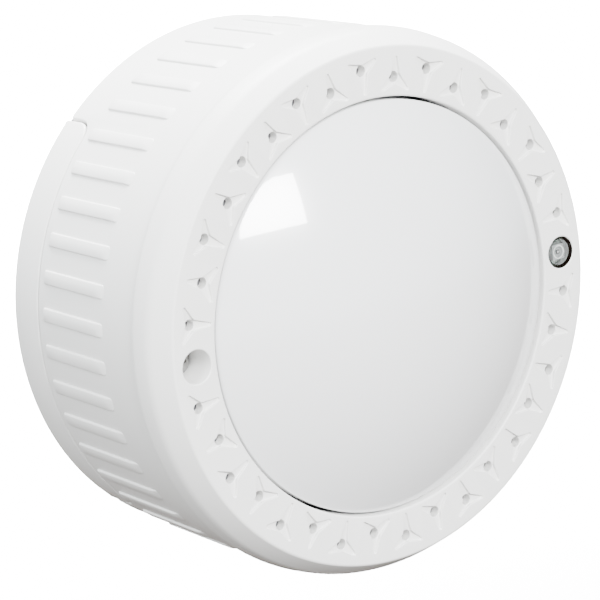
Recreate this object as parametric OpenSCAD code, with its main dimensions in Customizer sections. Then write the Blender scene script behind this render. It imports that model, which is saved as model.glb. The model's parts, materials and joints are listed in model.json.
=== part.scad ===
// Round wall siren with a strobe dome. The wall is the plane y = 0 and the front faces -Y.
// Every piece is drawn with z as its distance from the wall, and off_wall() turns it into place.
// A clock angle runs clockwise from the top, as seen from the front.

/* [Housing] */
// Distance from the wall to the front face
face_z = 57; // [54:0.5:66]
// Step from the front ring's edge down to the housing
housing_step = 0.6; // [0.4:0.1:0.8]
// Taper of the housing's radius between the front ring and the base's rim
housing_draft = 1.1; // [0.8:0.1:1.3]
// Wall of the housing
housing_wall = 2.2; // [1.8:0.1:2.4]
// Gap between the housing's rear edge and the wall
skirt_gap = 0.8; // [0.5:0.1:1.5]
// Rounding of the rear edges
rear_round = 1.5; // [0.8:0.1:1.8]
// Thickness of the inner deck that closes the housing behind the front ring
deck_t = 2.2; // [1.6:0.1:3]
// Width of the deck's ledge under the strobe board
deck_ledge_w = 7.8; // [7.4:0.1:8.4]
// Width of the shadow groove behind the front ring
seam_groove_w = 0.6; // [0.4:0.1:1]
// Depth of the shadow groove behind the front ring
seam_groove_d = 0.6; // [0.3:0.1:0.8]

/* [Side ribs] */
// Number of side ribs round a full turn, with the first one left out at the top
rib_count = 45; // [30:1:60]
// Width of one rib
rib_w = 3; // [2:0.1:4]
// Height of one rib above the housing
rib_h = 0.45; // [0.3:0.05:0.6]
// Distance of the ribs' rear ends from the wall
rib_rear_z = 12.6; // [12:0.1:16]
// Length of the ribs
rib_len = 22.9; // [16:0.1:26]

/* [Front ring] */
// Outer radius of the front ring at its widest
ring_r = 60; // [59.8:0.1:60.6]
// Depth of the front ring from its face to its rear edge
ring_depth = 9.8; // [9.4:0.1:10.4]
// Width of the rounded slope outside the ring's flat face
ring_slope_w = 3.4; // [3.2:0.1:3.8]
// Width of the ring's flat face
face_band_w = 10.9; // [10.7:0.1:11.1]
// Thickness of the ring's face
ring_face_t = 3; // [2.6:0.1:3.2]
// Thickness of the wall round the opening
ring_inner_wall = 1.6; // [1.3:0.1:1.8]
// Thickness of the ring's outer wall and of its spigot in the housing
ring_outer_wall = 1.6; // [1.2:0.1:2]
// Clearance between the spigot and the housing
spigot_gap = 0.15; // [0.1:0.05:0.3]

/* [Sound recesses] */
// Places round the ring, two of which hold the screw well and the status window
place_count = 36; // [36:4:36]
// Distance inside the face's edge of the holes whose recess has two outer lobes
fork_inset = 4.6; // [4.3:0.1:4.8]
// Distance inside the face's edge of the holes whose recess has one outer lobe
spear_inset = 6.8; // [6.6:0.1:7]
// Radius of a sound hole
sound_hole_r = 1.2; // [0.8:0.05:1.4]
// Radius that the straight sides of the lobes run past, round the hole
lobe_root_r = 1.1; // [0.8:0.05:1.3]
// Depth of a recess at its hole
recess_d = 0.75; // [0.4:0.05:1]
// Depth of a recess at the end of its longest lobe
recess_tip_d = 0.25; // [0.1:0.05:0.35]
// Length of the two outer lobes of a forked recess
fork_outer_len = 4.3; // [3.5:0.1:4.6]
// Length of the inner lobe of a forked recess
fork_inner_len = 5.2; // [4.5:0.1:5.4]
// Angle of a forked recess's outer lobes from straight outwards
fork_angle = 63; // [55:1:66]
// Length of the outer lobe of a spear recess
spear_outer_len = 4.4; // [3.5:0.1:4.8]
// Length of the two inner lobes of a spear recess
spear_inner_len = 4.6; // [3.5:0.1:4.8]
// Angle of a spear recess's inner lobes from straight outwards
spear_angle = 128; // [118:1:132]
// Thickness of the dark mesh behind the holes
mesh_t = 0.3; // [0.2:0.05:0.4]

/* [Strobe dome] */
// Gap between the dome and the ring round it
dome_gap = 0.7; // [0.5:0.1:0.9]
// Angle of the dome's surface at its rim
dome_angle = 33; // [26:0.5:40]
// Distance of the dome's rim behind the ring's face
dome_rim_d = 0.8; // [0.4:0.1:1.5]
// Wall of the dome
dome_wall = 2; // [1.6:0.1:2.4]
// Width of the dome's flange beyond its skirt
dome_flange_w = 2.6; // [2.2:0.1:2.8]
// Thickness of the dome's flange
dome_flange_t = 1.6; // [1.2:0.1:2]
// Thickness of the dark seal on the flange
seal_t = 0.8; // [0.6:0.1:1.2]
// Depth of the seal below the ring's face
seal_d = 5.6; // [5:0.1:6]

/* [Lock screw] */
// Distance inside the face's edge of the screw well and of the status window
well_inset = 5.8; // [5.7:0.1:5.9]
// Radius of the screw well
well_r = 3.65; // [3.5:0.05:3.7]
// Wall of the screw well
well_wall = 1.2; // [1:0.1:1.3]
// Depth of the well down to the screw's head
well_d = 6; // [5:0.1:6.5]
// Radius of the screw's head
screw_head_r = 2.75; // [2.5:0.05:2.9]
// Height of the screw's head
screw_head_h = 2.4; // [2:0.1:2.6]
// Radius of the screw's shank
screw_r = 1.5; // [1.4:0.05:1.6]
// Running clearance round the shank
screw_fit = 0.06; // [0.03:0.01:0.09]
// Thickness of the rubber washer under the head
washer_t = 0.6; // [0.4:0.1:0.8]
// Outer radius of the pillar that guides the screw
screw_pillar_r = 3.6; // [3.2:0.1:4]
// Thickness of the retaining ring on the shank
retainer_t = 0.6; // [0.5:0.1:0.8]
// Depth of the retaining ring's groove in the shank
retainer_groove_d = 0.3; // [0.2:0.05:0.4]
// Outer radius of the retaining ring
retainer_r = 2.9; // [2.6:0.1:3.2]

/* [Status window] */
// Radius of the window's clear cap
lens_r = 3.55; // [3.4:0.05:3.65]
// Clearance between the cap and its hole
lens_gap = 0.08; // [0.05:0.01:0.1]
// Thickness of the cap's front
lens_t = 1; // [0.8:0.1:1.2]
// Depth of the cap's front behind the ring's face
lens_set = 0.15; // [0:0.05:0.4]
// Wall of the cap's skirt
lens_wall = 0.6; // [0.5:0.05:0.7]
// Width of the status board along the ring
status_board_w = 17; // [16.5:0.5:19]
// Width of the status board across the ring
status_board_h = 6.4; // [6.2:0.1:6.5]
// Thickness of the status board
status_board_t = 1.2; // [1:0.1:1.6]
// Distance of the status board's pegs from the window's centre
status_peg_x = 6.7; // [6.5:0.1:7]
// Distance between the leads of one plug
lead_pitch = 1.6; // [1.4:0.1:1.8]

/* [Mounting base] */
// Distance from the wall to the seam of the base's exposed rim
base_rim_z = 10; // [9:0.1:11]
// Half of the angle that the exposed rim covers, centred on the lock screw
base_rim_angle = 48.5; // [40:0.5:55]
// Radius of the rounded ends of the exposed rim
base_rim_corner = 4; // [3:0.1:5]
// Thickness of the base plate
base_t = 2.4; // [2.2:0.1:3]
// Depth of the hollow in the base's back, inside its flat land
base_hollow_d = 0.8; // [0.4:0.1:1]
// Width of the flat land at the edge of the base's back
base_land_w = 6; // [4:0.5:7]
// Radius of the flat land in the middle of the base's back
base_middle_r = 9; // [6:0.5:14]
// Height of the low wall round the base plate
base_wall_z = 4.4; // [3.6:0.1:4.4]
// Thickness of the low wall and of the exposed rim
base_wall_t = 1.8; // [1.4:0.1:1.9]
// Distance between the wall-screw holes, across and up
wall_screw_pitch = 60; // [52:1:66]
// Radius of a wall-screw hole
wall_screw_r = 2.25; // [2:0.05:2.6]
// Radius of the countersink of a wall-screw hole
wall_screw_sink_r = 4.4; // [4:0.1:4.6]
// Outer radius of the boss that holds the threaded insert
boss_r = 4; // [3.6:0.1:4.2]
// Outer radius of the threaded insert
insert_r = 2.3; // [2.2:0.05:2.6]
// Length of the threaded insert
insert_len = 6; // [5:0.1:6.5]
// Width of a locating tongue
tongue_w = 9; // [7:0.5:10]
// Thickness of a locating tongue
tongue_t = 1.6; // [1.2:0.1:1.8]
// Distance from the wall to a tongue's tip
tongue_z = 13; // [11:0.5:15]
// Clock angle of the two tongues, mirrored about the horizontal
tongue_clock = 60; // [55:1:65]

/* [Rear cover and battery bay] */
// Distance from the wall to the cover's back
cover_z = 5; // [4.9:0.1:5.6]
// Thickness of the cover
cover_t = 2; // [1.6:0.1:2.4]
// Wall of the battery bay
bay_wall = 1.6; // [1.2:0.1:2]
// Radius of a battery cell
cell_r = 7.15; // [6.9:0.05:7.2]
// Length of a cell's body
cell_len = 49.2; // [48:0.1:49.4]
// Distance between neighbouring cells
cell_pitch = 15; // [14.6:0.1:15.4]
// Radius of a cell's positive end
cell_tip_r = 2.75; // [2.5:0.05:3]
// Length of a cell's positive end
cell_tip_len = 1.1; // [1:0.05:1.4]
// Length of a contact spring
contact_spring_len = 6.6; // [6:0.1:7]
// Thickness of a contact plate
contact_t = 0.4; // [0.3:0.05:0.5]
// Height of the ribs that the cells rest on
cradle_h = 0.6; // [0.4:0.1:1]
// Distance of these ribs from the middle of the bay
cradle_x = 15; // [10:1:18]

/* [Boards and siren] */
// Thickness of the main and strobe boards
board_t = 1.6; // [1.2:0.1:1.8]
// Height of the posts between the battery bay and the main board
board_post_h = 2.7; // [2.5:0.1:3.2]
// Width of the siren cup's foot outside its disc
cup_foot_w = 4; // [3.5:0.1:4.5]
// Height of the siren cup
cup_h = 12.6; // [11:0.1:13]
// Wall of the siren cup
cup_wall = 2; // [1.6:0.1:2.4]
// Height of the piezo disc above the main board
piezo_z = 5.2; // [4:0.1:6]
// Radius of the piezo disc
piezo_r = 25; // [22:0.5:25]
// Thickness of the piezo disc's brass
piezo_t = 0.4; // [0.3:0.05:0.6]
// Radius of one sound port in the siren cup
cup_port_r = 2.4; // [1.5:0.1:3]
// Number of sound ports round the one in the middle
cup_port_count = 6; // [4:1:8]
// Radius of the circle of these sound ports
cup_port_circle_r = 12; // [10:0.5:16]
// Radius of the storage capacitor
capacitor_r = 6.2; // [5:0.1:6.4]
// Radius of the drive coil's flanges
drive_coil_r = 5.6; // [4.5:0.1:6]
// Number of lights under the dome
strobe_count = 8; // [6:1:12]
// Radius of the circle of lights
strobe_circle_r = 26; // [18:0.5:27]
// Side of one light
strobe_side = 5; // [3.5:0.1:5.5]

/* [Switches] */
// Radius of the plungers of the tamper switch and the learn button
plunger_r = 2; // [1.8:0.05:2.2]
// Running clearance round a plunger
plunger_fit = 0.07; // [0.04:0.01:0.1]
// Wall of a plunger's guide tube
guide_wall = 1.3; // [1:0.1:1.4]
// Gap between the battery bay and the guide tubes
guide_gap = 3.6; // [3:0.1:4]
// Gap between the two guide tubes
learn_gap = 7.3; // [7:0.1:8]
// Gap between the tamper plunger's tip and the wall
tamper_tip_gap = 0.2; // [0.1:0.05:0.3]
// Travel of the tamper plunger
tamper_travel = 1.5; // [1:0.1:1.6]
// Travel of the learn button
learn_travel = 0.5; // [0.3:0.05:0.6]

/* [Fasteners] */
// Radius of the small screws' shanks
small_screw_r = 1.15; // [1:0.05:1.25]
// Clearance round a small screw in its pilot hole
pilot_gap = 0.05; // [0.03:0.01:0.1]
// Radius of the small screws' heads
small_head_r = 2.2; // [2:0.05:2.3]
// Height of the small screws' heads
small_head_h = 1.7; // [1.4:0.1:1.8]
// Radius of the pillars that hold the rear cover
pillar_r = 3; // [2.7:0.1:3.2]
// Distance of these pillars' centres from the cover's edge
pillar_inset = 6.2; // [6:0.1:6.4]
// Radius of the bosses inside the front ring
ring_boss_r = 2.6; // [2.2:0.1:2.7]

/* [Clearances] */
// Gap between the head and the base wherever they face each other
head_gap = 0.3; // [0.25:0.05:0.5]
// Free gap between the housing's skirt and the base plate's edge
plate_gap = 0.5; // [0.3:0.05:0.7]
// Free gap between pieces that only lie near each other
loose_gap = 0.4; // [0.3:0.05:0.6]

/* [Hidden] */

$fn = 96;
eps = 0.01;
over = 1;

// Clock angles of what stands round the axis
screw_clock = 270;
status_clock = 90;
ring_boss_clocks = [45, 135, 225, 315];
pillar_clocks = [25, 155, 205, 335];
strobe_screw_clocks = [60, 180, 300];
port_arcs = [[-18, 18], [54, 84], [96, 126], [162, 198], [234, 262], [278, 306]];

// Heights above the wall
seam_z = face_z - ring_depth;
spigot_len = 2.2;
deck_z = seam_z - spigot_len;
deck_under_z = deck_z - deck_t;
ring_under_z = face_z - ring_face_t;
seal_z = face_z - seal_d;
flange_top_z = seal_z - seal_t;
flange_z = flange_top_z - dome_flange_t;
well_floor_z = face_z - well_d - screw_head_h - washer_t;
mesh_z = ring_under_z - mesh_t;
skirt_z = skirt_gap;
notch_z = base_rim_z + head_gap;
boss_z = base_rim_z;
screw_tip_z = boss_z - insert_len + 1;
insert_z = boss_z - insert_len;

// Radii
housing_front_r = ring_r - housing_step;
housing_rear_r = housing_front_r - housing_draft;
ring_face_r = ring_r - ring_slope_w;
ring_open_r = ring_face_r - face_band_w;
fork_circle_r = ring_face_r - fork_inset;
spear_circle_r = ring_face_r - spear_inset;
well_circle_r = ring_face_r - well_inset;
dome_r = ring_open_r - dome_gap;
dome_flange_r = dome_r + dome_flange_w;
collar_in_r = dome_r - dome_wall + 0.8;
port_in_r = dome_flange_r + 2.6;
port_out_r = housing_front_r - housing_wall - 1.6;
plate_r = body_r(skirt_z) - housing_wall - plate_gap;
cover_r = plate_r - 0.1;
spigot_r = housing_front_r - housing_wall - spigot_gap;
pillar_circle_r = cover_r - pillar_inset;
main_board_r = pillar_circle_r - pillar_r - loose_gap;
cup_r = piezo_r + cup_foot_w;
deck_hole_r = collar_in_r - deck_ledge_w;

// Battery bay
bay_half_x = (cell_len + cell_tip_len + contact_spring_len + 2 * contact_t + 0.3) / 2;
bay_half_y = 1.5 * cell_pitch + cell_r + 0.25;
cell_z = cover_z + cell_r + 0.7;
bay_floor_z = cell_z + cell_r + 0.1 + cradle_h;
bay_top_z = bay_floor_z + bay_wall;
cell_shift = bay_half_x - contact_t - 0.1 - cell_tip_len - cell_len / 2;

// Boards
main_board_z = bay_top_z + board_post_h;
main_top_z = main_board_z + board_t;
board_post_x = bay_half_x - 4;
board_post_y = bay_half_y - 4;
board_edge = 1;
capacitor_clock = 78;
drive_coil_clock = 116;
status_plug_clock = 100;
status_plug_r = main_board_r - 4.2;
strobe_board_r = collar_in_r - loose_gap;
strobe_board_z = deck_z;
strobe_screw_r = 1;
strobe_screw_circle_r = (deck_hole_r + strobe_board_r) / 2;
strobe_boss_h = 2.5;
status_board_z = ring_under_z - loose_gap - status_board_t;
status_board_top_z = status_board_z + status_board_t;

// Switches on the back of the main board
switch_h = 2.2;
switch_side = 6;
switch_z = main_board_z - switch_h;
plunger_flange_r = plunger_r + 1;
plunger_flange_t = 1.2;
guide_end_z = 16;
tamper_spring_len = 3;
tamper_flange_z = switch_z - tamper_spring_len - plunger_flange_t;
learn_flange_z = switch_z - learn_travel - 0.05 - plunger_flange_t;
learn_back_z = cover_z + 0.3;
guide_bore_r = plunger_r + plunger_fit;
guide_r = guide_bore_r + guide_wall;
plunger_y = bay_half_y + bay_wall + guide_gap + guide_r;
learn_x = 2 * guide_r + learn_gap;

function at(r, clock) = [r * sin(clock), r * cos(clock), 0];
function unit(v) = v / norm(v);

// Outer radius of the housing at a height above the wall
function body_r(z) =
    housing_rear_r + (housing_front_r - housing_rear_r) * (z - base_rim_z) / (seam_z - base_rim_z);

// Points of an arc that rounds the corner b between its neighbours a and c
function corner(a, b, c, r, n = 6) =
    let (u = unit(a - b), v = unit(c - b), half = acos(u * v) / 2)
    let (mid = b + unit(u + v) * r / sin(half), p = b + u * r / tan(half) - mid)
    let (q = b + v * r / tan(half) - mid, start = atan2(p.y, p.x))
    let (turn = atan2(p.x * q.y - p.y * q.x, p * q))
    [for (i = [0:n]) mid + r * [cos(start + turn * i / n), sin(start + turn * i / n)]];

// A closed outline from corners [x, y, rounding radius]
function rounded(list) =
    let (n = len(list), p = [for (c = list) [c.x, c.y]])
    [for (i = [0:n - 1]) each
        (list[i].z > 0 ? corner(p[(i + n - 1) % n], p[i], p[(i + 1) % n], list[i].z) : [p[i]])];

module off_wall() {
    rotate([90, 0, 0]) children();
}

// Local y points away from the axis, and local x runs clockwise
module at_clock(r, clock) {
    translate(at(r, clock)) rotate(-clock) children();
}

module revolve(outline) {
    rotate_extrude() polygon(outline);
}

module tube(r, hole, z0, z1) {
    difference() {
        translate([0, 0, z0]) cylinder(r = r, h = z1 - z0);
        translate([0, 0, z0 - over]) cylinder(r = hole, h = z1 - z0 + 2 * over);
    }
}

module post(r, z0, z1) {
    translate([0, 0, z0]) cylinder(r = r, h = z1 - z0);
}

module block(x, y, z0, z1) {
    translate([-x / 2, -y / 2, z0]) cube([x, y, z1 - z0]);
}

// A wedge between two clock angles, up to 120 degrees wide
module sector(from, to, r, z0, z1) {
    middle = (from + to) / 2;
    reach = 2 * r;
    translate([0, 0, z0]) linear_extrude(z1 - z0)
        polygon([[0, 0], reach * [sin(from), cos(from)],
            reach * [sin(middle), cos(middle)], reach * [sin(to), cos(to)]]);
}

module ring_arc(r_in, r_out, from, to, z0, z1) {
    intersection() {
        tube(r_out, r_in, z0, z1);
        sector(from, to, r_out, z0 - over, z1 + over);
    }
}

// A screw that points towards +z from its head's underside
module small_screw(z, length, r = small_screw_r) {
    difference() {
        union() {
            post(small_head_r, z - small_head_h, z);
            post(r, z - eps, z + length);
        }
        for (turn = [0, 90])
            rotate(turn) block(2.4, 0.6, z - small_head_h - over, z - small_head_h + 0.8);
    }
}

// A round wire along a helix whose radius runs from r0 to r1, with closed ends
module coil(r0, r1, length, turns, wire_r, steps = 14, sides = 6) {
    n = ceil(turns * steps);
    rings = [for (i = [0:n])
        let (t = i / n, angle = 360 * turns * t, r = r0 + (r1 - r0) * t)
        for (k = [0:sides - 1])
            let (w = 360 * k / sides, out = r + wire_r * cos(w))
            [out * cos(angle), out * sin(angle), wire_r + (length - 2 * wire_r) * t + wire_r * sin(w)]];
    polyhedron(rings, tube_faces(n, sides));
}

// A round wire through a list of points
module wire(path, r, sides = 8) {
    n = len(path) - 1;
    rings = [for (i = [0:n])
        let (d = unit(path[min(i + 1, n)] - path[max(i - 1, 0)]))
        let (side = unit(cross(d, [0.3, 1, 0.2])), up = cross(side, d))
        for (k = [0:sides - 1])
            path[i] + r * (cos(360 * k / sides) * side + sin(360 * k / sides) * up)];
    polyhedron(rings, tube_faces(n, sides));
}

function tube_faces(n, sides) = concat(
    [[for (k = [sides - 1:-1:0]) k]],
    [for (i = [0:n - 1], k = [0:sides - 1])
        let (a = i * sides + k, b = i * sides + (k + 1) % sides)
        [a, b, b + sides, a + sides]],
    [[for (k = [0:sides - 1]) n * sides + k]]);

// Points of a smooth curve from a to d that leaves towards b and arrives from c
function bend(a, b, c, d, n = 14) =
    [for (i = [0:n]) let (t = i / n, s = 1 - t)
        s * s * s * a + 3 * s * s * t * b + 3 * s * t * t * c + t * t * t * d];

// The exposed rim's space, grown by a gap: a straight cut across the skirt with rounded corners
module rim_space(gap, r_in, r_out) {
    half_w = body_r(base_rim_z) * sin(base_rim_angle) + gap;
    top = base_rim_z + gap;
    corner_r = base_rim_corner + gap;
    intersection() {
        tube(r_out, r_in, -over, top + over);
        at_clock(0, screw_clock) rotate([90, 0, 180]) linear_extrude(r_out + over)
            polygon(rounded([
                [-half_w, -2 * over, 0],
                [half_w, -2 * over, 0],
                [half_w, top, corner_r],
                [-half_w, top, corner_r],
            ]));
    }
}

module mounting_base() {
    color("white") off_wall() difference() {
        union() {
            post(plate_r, 0, base_t);
            tube(plate_r, plate_r - base_wall_t, 0, base_wall_z);
            intersection() {
                rim_space(0, plate_r - 2, ring_r + over);
                revolve(rim_profile());
            }
            at_clock(well_circle_r, screw_clock) post(boss_r, 0, boss_z);
            for (clock = [tongue_clock, 180 - tongue_clock]) at_clock(0, clock) tongue();
        }
        difference() {
            post(plate_r - base_land_w, -over, base_hollow_d);
            post(base_middle_r, -2 * over, base_hollow_d + over);
            each_wall_screw() post(wall_screw_sink_r + 1, -2 * over, base_hollow_d + over);
        }
        at_clock(well_circle_r, screw_clock) post(insert_r, insert_z, boss_z + over);
        each_wall_screw() wall_screw_hole();
        translate([0, -plunger_y]) post(plunger_r + 1, -over, base_t + over);
    }
}

// Outline of the exposed rim and the floor under it, with its rounded rear edge
function rim_profile() = rounded([
    [plate_r - 1, 0, 0],
    [body_r(0), 0, rear_round],
    [body_r(base_rim_z), base_rim_z, 0.3],
    [body_r(base_rim_z) - base_wall_t, base_rim_z, 0],
    [body_r(base_rim_z) - base_wall_t - 0.2, base_t, 0],
    [plate_r - 1, base_t, 0],
]);

module each_wall_screw() {
    for (x = [-0.5, 0.5], y = [-0.5, 0.5])
        translate([x * wall_screw_pitch, y * wall_screw_pitch]) children();
}

module wall_screw_hole() {
    post(wall_screw_r, -over, base_t + over);
    translate([0, 0, base_t - (wall_screw_sink_r - wall_screw_r) / 2])
        cylinder(r1 = wall_screw_r, r2 = wall_screw_sink_r, h = (wall_screw_sink_r - wall_screw_r) / 2 + eps);
}

module tongue() {
    translate([-tongue_w / 2, plate_r - base_wall_t - tongue_t + 0.4, base_t - eps])
        cube([tongue_w, tongue_t, tongue_z - base_t]);
}

module threaded_insert() {
    color("goldenrod") off_wall() at_clock(well_circle_r, screw_clock)
        tube(insert_r, screw_r + screw_fit, insert_z, boss_z);
}

// Section of the front ring from its spigot round the face to its inner wall
function ring_profile() = rounded([
    [ring_open_r, seal_z, 0],
    [ring_open_r, face_z, 0.35],
    [ring_face_r, face_z, 0.8],
    [ring_r - 0.45, face_z - 0.52 * ring_depth, 6],
    [ring_r, seam_z + 1, 0],
    [ring_r, seam_z, 0.25],
    [spigot_r, seam_z, 0],
    [spigot_r, deck_z + 0.2, 0],
    [spigot_r - ring_outer_wall, deck_z + 0.2, 0],
    [spigot_r - ring_outer_wall, ring_under_z - 3, 1],
    [ring_face_r - 1.6, ring_under_z, 0.5],
    [ring_open_r + ring_inner_wall, ring_under_z, 0.5],
    [ring_open_r + ring_inner_wall, seal_z, 0],
]);

module front_ring() {
    color("white") off_wall() difference() {
        union() {
            revolve(ring_profile());
            for (clock = ring_boss_clocks) at_clock(fork_circle_r, clock)
                post(ring_boss_r, deck_z, ring_under_z + eps);
            at_clock(well_circle_r, screw_clock) post(well_r + well_wall, deck_z, ring_under_z + eps);
            at_clock(well_circle_r, status_clock) status_pegs();
        }
        for (clock = ring_boss_clocks) at_clock(fork_circle_r, clock)
            post(small_screw_r + pilot_gap, deck_z - over, ring_under_z - 2);
        at_clock(well_circle_r, screw_clock) {
            post(well_r, well_floor_z, face_z + over);
            post(screw_r + screw_fit, deck_z - over, face_z);
        }
        at_clock(well_circle_r, status_clock) post(lens_r + lens_gap, seam_z, face_z + over);
        sound_recesses();
    }
}

// Pegs that hold the status board behind the window
module status_pegs() {
    for (x = [-status_peg_x, status_peg_x]) translate([x, 0]) {
        post(1.4, status_board_top_z, ring_under_z + eps);
        post(0.75, status_board_z - 0.5, ring_under_z);
    }
}

// A sound hole at every place but those of the screw well and the status window
module sound_recesses() {
    step = 360 / place_count;
    for (i = [0:place_count - 1]) {
        clock = i * step;
        if (clock != status_clock && clock != screw_clock) {
            if (i % 2 == 0) at_clock(fork_circle_r, clock)
                recess([[fork_angle, fork_outer_len], [180, fork_inner_len], [-fork_angle, fork_outer_len]]);
            else at_clock(spear_circle_r, clock)
                recess([[0, spear_outer_len], [spear_angle, spear_inner_len],
                    [-spear_angle, spear_inner_len]]);
        }
    }
}

// Three straight-sided lobes round one hole, deepest at the hole
module recess(lobes) {
    slope_r = fork_inner_len * recess_d / (recess_d - recess_tip_d);
    scale_up = 2;
    intersection() {
        translate([0, 0, face_z - recess_d]) linear_extrude(recess_d + over) star(lobes);
        translate([0, 0, face_z - recess_d])
            cylinder(r1 = 0.02, r2 = scale_up * slope_r, h = scale_up * recess_d);
    }
    post(sound_hole_r, ring_under_z - over, face_z - eps);
}

// Each side of a lobe runs from its tip past the hole to the lobe beside it
module star(lobes) {
    polygon([for (i = [0:2])
        let (a = lobes[i], b = lobes[(i + 1) % 3], between = wrap(b[0] - a[0]) / 2)
        let (lean = asin(lobe_root_r / a[1]), reach = a[1] * sin(lean) / sin(180 - lean - between))
        each [lobe_point(a[1], a[0]), lobe_point(reach, a[0] + between)]]);
}

function wrap(angle) = (angle % 360 + 360) % 360;
function lobe_point(r, angle) = [r * sin(angle), r * cos(angle)];

module sound_mesh() {
    color("dimgray") off_wall() difference() {
        tube(spigot_r - ring_outer_wall - 1.4, ring_open_r + ring_inner_wall + 0.8, mesh_z, ring_under_z);
        for (clock = ring_boss_clocks) at_clock(fork_circle_r, clock)
            post(ring_boss_r + 0.2, mesh_z - over, ring_under_z + over);
        at_clock(well_circle_r, screw_clock)
            post(well_r + well_wall + 0.2, mesh_z - over, ring_under_z + over);
        at_clock(well_circle_r, status_clock)
            block(status_board_w + 0.6, face_band_w + 2 * over, mesh_z - over, face_z);
    }
}

// The screw well's tube with a gap round it, cut out of what stands beside it
module well_space(z0, z1) {
    at_clock(well_circle_r, screw_clock) post(well_r + well_wall + head_gap, z0 - over, z1 + over);
}

module strobe_dome() {
    sphere_r = dome_r / sin(dome_angle);
    centre_z = face_z - dome_rim_d - sphere_r * cos(dome_angle);
    color("whitesmoke") off_wall() difference() {
        union() {
            intersection() {
                translate([0, 0, centre_z]) sphere(sphere_r);
                post(dome_r, flange_z, face_z + dome_r);
            }
            post(dome_flange_r, flange_z, flange_top_z);
        }
        intersection() {
            translate([0, 0, centre_z]) sphere(sphere_r - dome_wall);
            post(dome_r - dome_wall, flange_z - over, face_z + dome_r);
        }
        well_space(flange_z, flange_top_z);
    }
}

module dome_seal() {
    color("black") off_wall() difference() {
        tube(dome_flange_r - 0.3, dome_r + 0.1, flange_top_z, seal_z);
        well_space(flange_top_z, seal_z);
    }
}

module status_lens() {
    color([0.9, 0.95, 0.95, 0.5]) off_wall() at_clock(well_circle_r, status_clock) difference() {
        post(lens_r, status_board_top_z, face_z - lens_set);
        post(lens_r - lens_wall, status_board_top_z - over, face_z - lens_set - lens_t);
    }
}

module status_board() {
    color("darkseagreen") off_wall() at_clock(well_circle_r, status_clock) difference() {
        block(status_board_w, status_board_h, status_board_z, status_board_top_z);
        for (x = [-status_peg_x, status_peg_x])
            translate([x, 0]) post(0.8, status_board_z - over, status_board_top_z + over);
    }
}

// White package with a round cup and a small square die in it
module status_led() {
    side = 3.4;
    top = face_z - lens_set - lens_t - 0.15;
    color("white") off_wall() at_clock(well_circle_r, status_clock) {
        difference() {
            block(side, side, status_board_top_z, top);
            translate([0, 0, top - 0.4]) cylinder(r1 = 1, r2 = 1.4, h = 0.4 + eps);
        }
        block(0.8, 0.8, top - 0.4 - eps, top - 0.2);
        translate([0, -2.45]) block(1.6, 0.7, status_board_top_z, status_board_top_z + 0.5);
    }
}

// Outline of the housing's shell, with its rounded rear edge and the groove behind the front ring
function shell_profile() = rounded([
    [body_r(skirt_z) - housing_wall, skirt_z, 0],
    [body_r(skirt_z), skirt_z, rear_round],
    [body_r(seam_z - seam_groove_w), seam_z - seam_groove_w, 0],
    [housing_front_r - seam_groove_d, seam_z - seam_groove_w, 0],
    [housing_front_r - seam_groove_d, seam_z, 0],
    [housing_front_r - housing_wall, seam_z, 0],
]);

// Section of the ribs: they stand off the tapered shell and run out at their front
function rib_section() = [
    [body_r(rib_rear_z) - 0.3, rib_rear_z],
    [body_r(rib_rear_z) + rib_h, rib_rear_z],
    [body_r(rib_rear_z + rib_len - 2.4) + rib_h, rib_rear_z + rib_len - 2.4],
    [body_r(rib_rear_z + rib_len) - 0.05, rib_rear_z + rib_len],
    [body_r(rib_rear_z + rib_len) - 0.3, rib_rear_z + rib_len],
];

module side_ribs() {
    step = 360 / rib_count;
    intersection() {
        revolve(rib_section());
        for (i = [0:rib_count - 1]) at_clock(housing_rear_r - 2, (i + 0.5) * step)
            rotate([90, 0, 180]) linear_extrude(5) rib_outline();
    }
}

// One rib seen square on: flat behind and bowed in front
module rib_outline() {
    bow_r = 0.6 * rib_w;
    intersection() {
        translate([-rib_w / 2, rib_rear_z - over]) square([rib_w, rib_len + 2 * over]);
        union() {
            translate([0, rib_rear_z + rib_len - bow_r]) circle(bow_r);
            translate([-rib_w, rib_rear_z - over]) square([2 * rib_w, rib_len - bow_r + over]);
        }
    }
}

module main_housing() {
    color("white") off_wall() difference() {
        union() {
            revolve(shell_profile());
            side_ribs();
            tube(housing_front_r - housing_wall + 0.5, deck_hole_r, deck_under_z, deck_z);
            difference() {
                tube(dome_flange_r, collar_in_r, deck_z - eps, flange_z);
                well_space(deck_z + over, flange_z);
            }
            for (clock = pillar_clocks) at_clock(pillar_circle_r, clock)
                post(pillar_r, cover_z + cover_t, deck_under_z + eps);
            at_clock(well_circle_r, screw_clock)
                post(screw_pillar_r, screw_pillar_z(), deck_under_z + eps);
            for (clock = [tongue_clock, 180 - tongue_clock]) at_clock(0, clock) tongue_guides();
            for (clock = strobe_screw_clocks) at_clock(strobe_screw_circle_r, clock)
                post(2.2, deck_under_z - strobe_boss_h, deck_under_z + eps);
        }
        rim_space(head_gap, plate_r - 2 * over, ring_r + 2 * over);
        for (arc = port_arcs)
            ring_arc(port_in_r, port_out_r, arc[0], arc[1], deck_under_z - over, deck_z + over);
        for (clock = ring_boss_clocks) at_clock(fork_circle_r, clock)
            post(small_screw_r + 0.3, deck_under_z - over, deck_z + over);
        for (clock = pillar_clocks) at_clock(pillar_circle_r, clock)
            post(small_screw_r + pilot_gap, cover_z, cover_z + cover_t + 9);
        at_clock(well_circle_r, screw_clock)
            post(screw_r + 0.4, screw_pillar_z() - over, deck_z + over);
        for (clock = strobe_screw_clocks) at_clock(strobe_screw_circle_r, clock)
            post(strobe_screw_r + pilot_gap, deck_under_z - strobe_boss_h - over, deck_z + over);
    }
}

// The screw's pillar stops above its retaining ring
function screw_pillar_z() = boss_z + 6;

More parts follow.
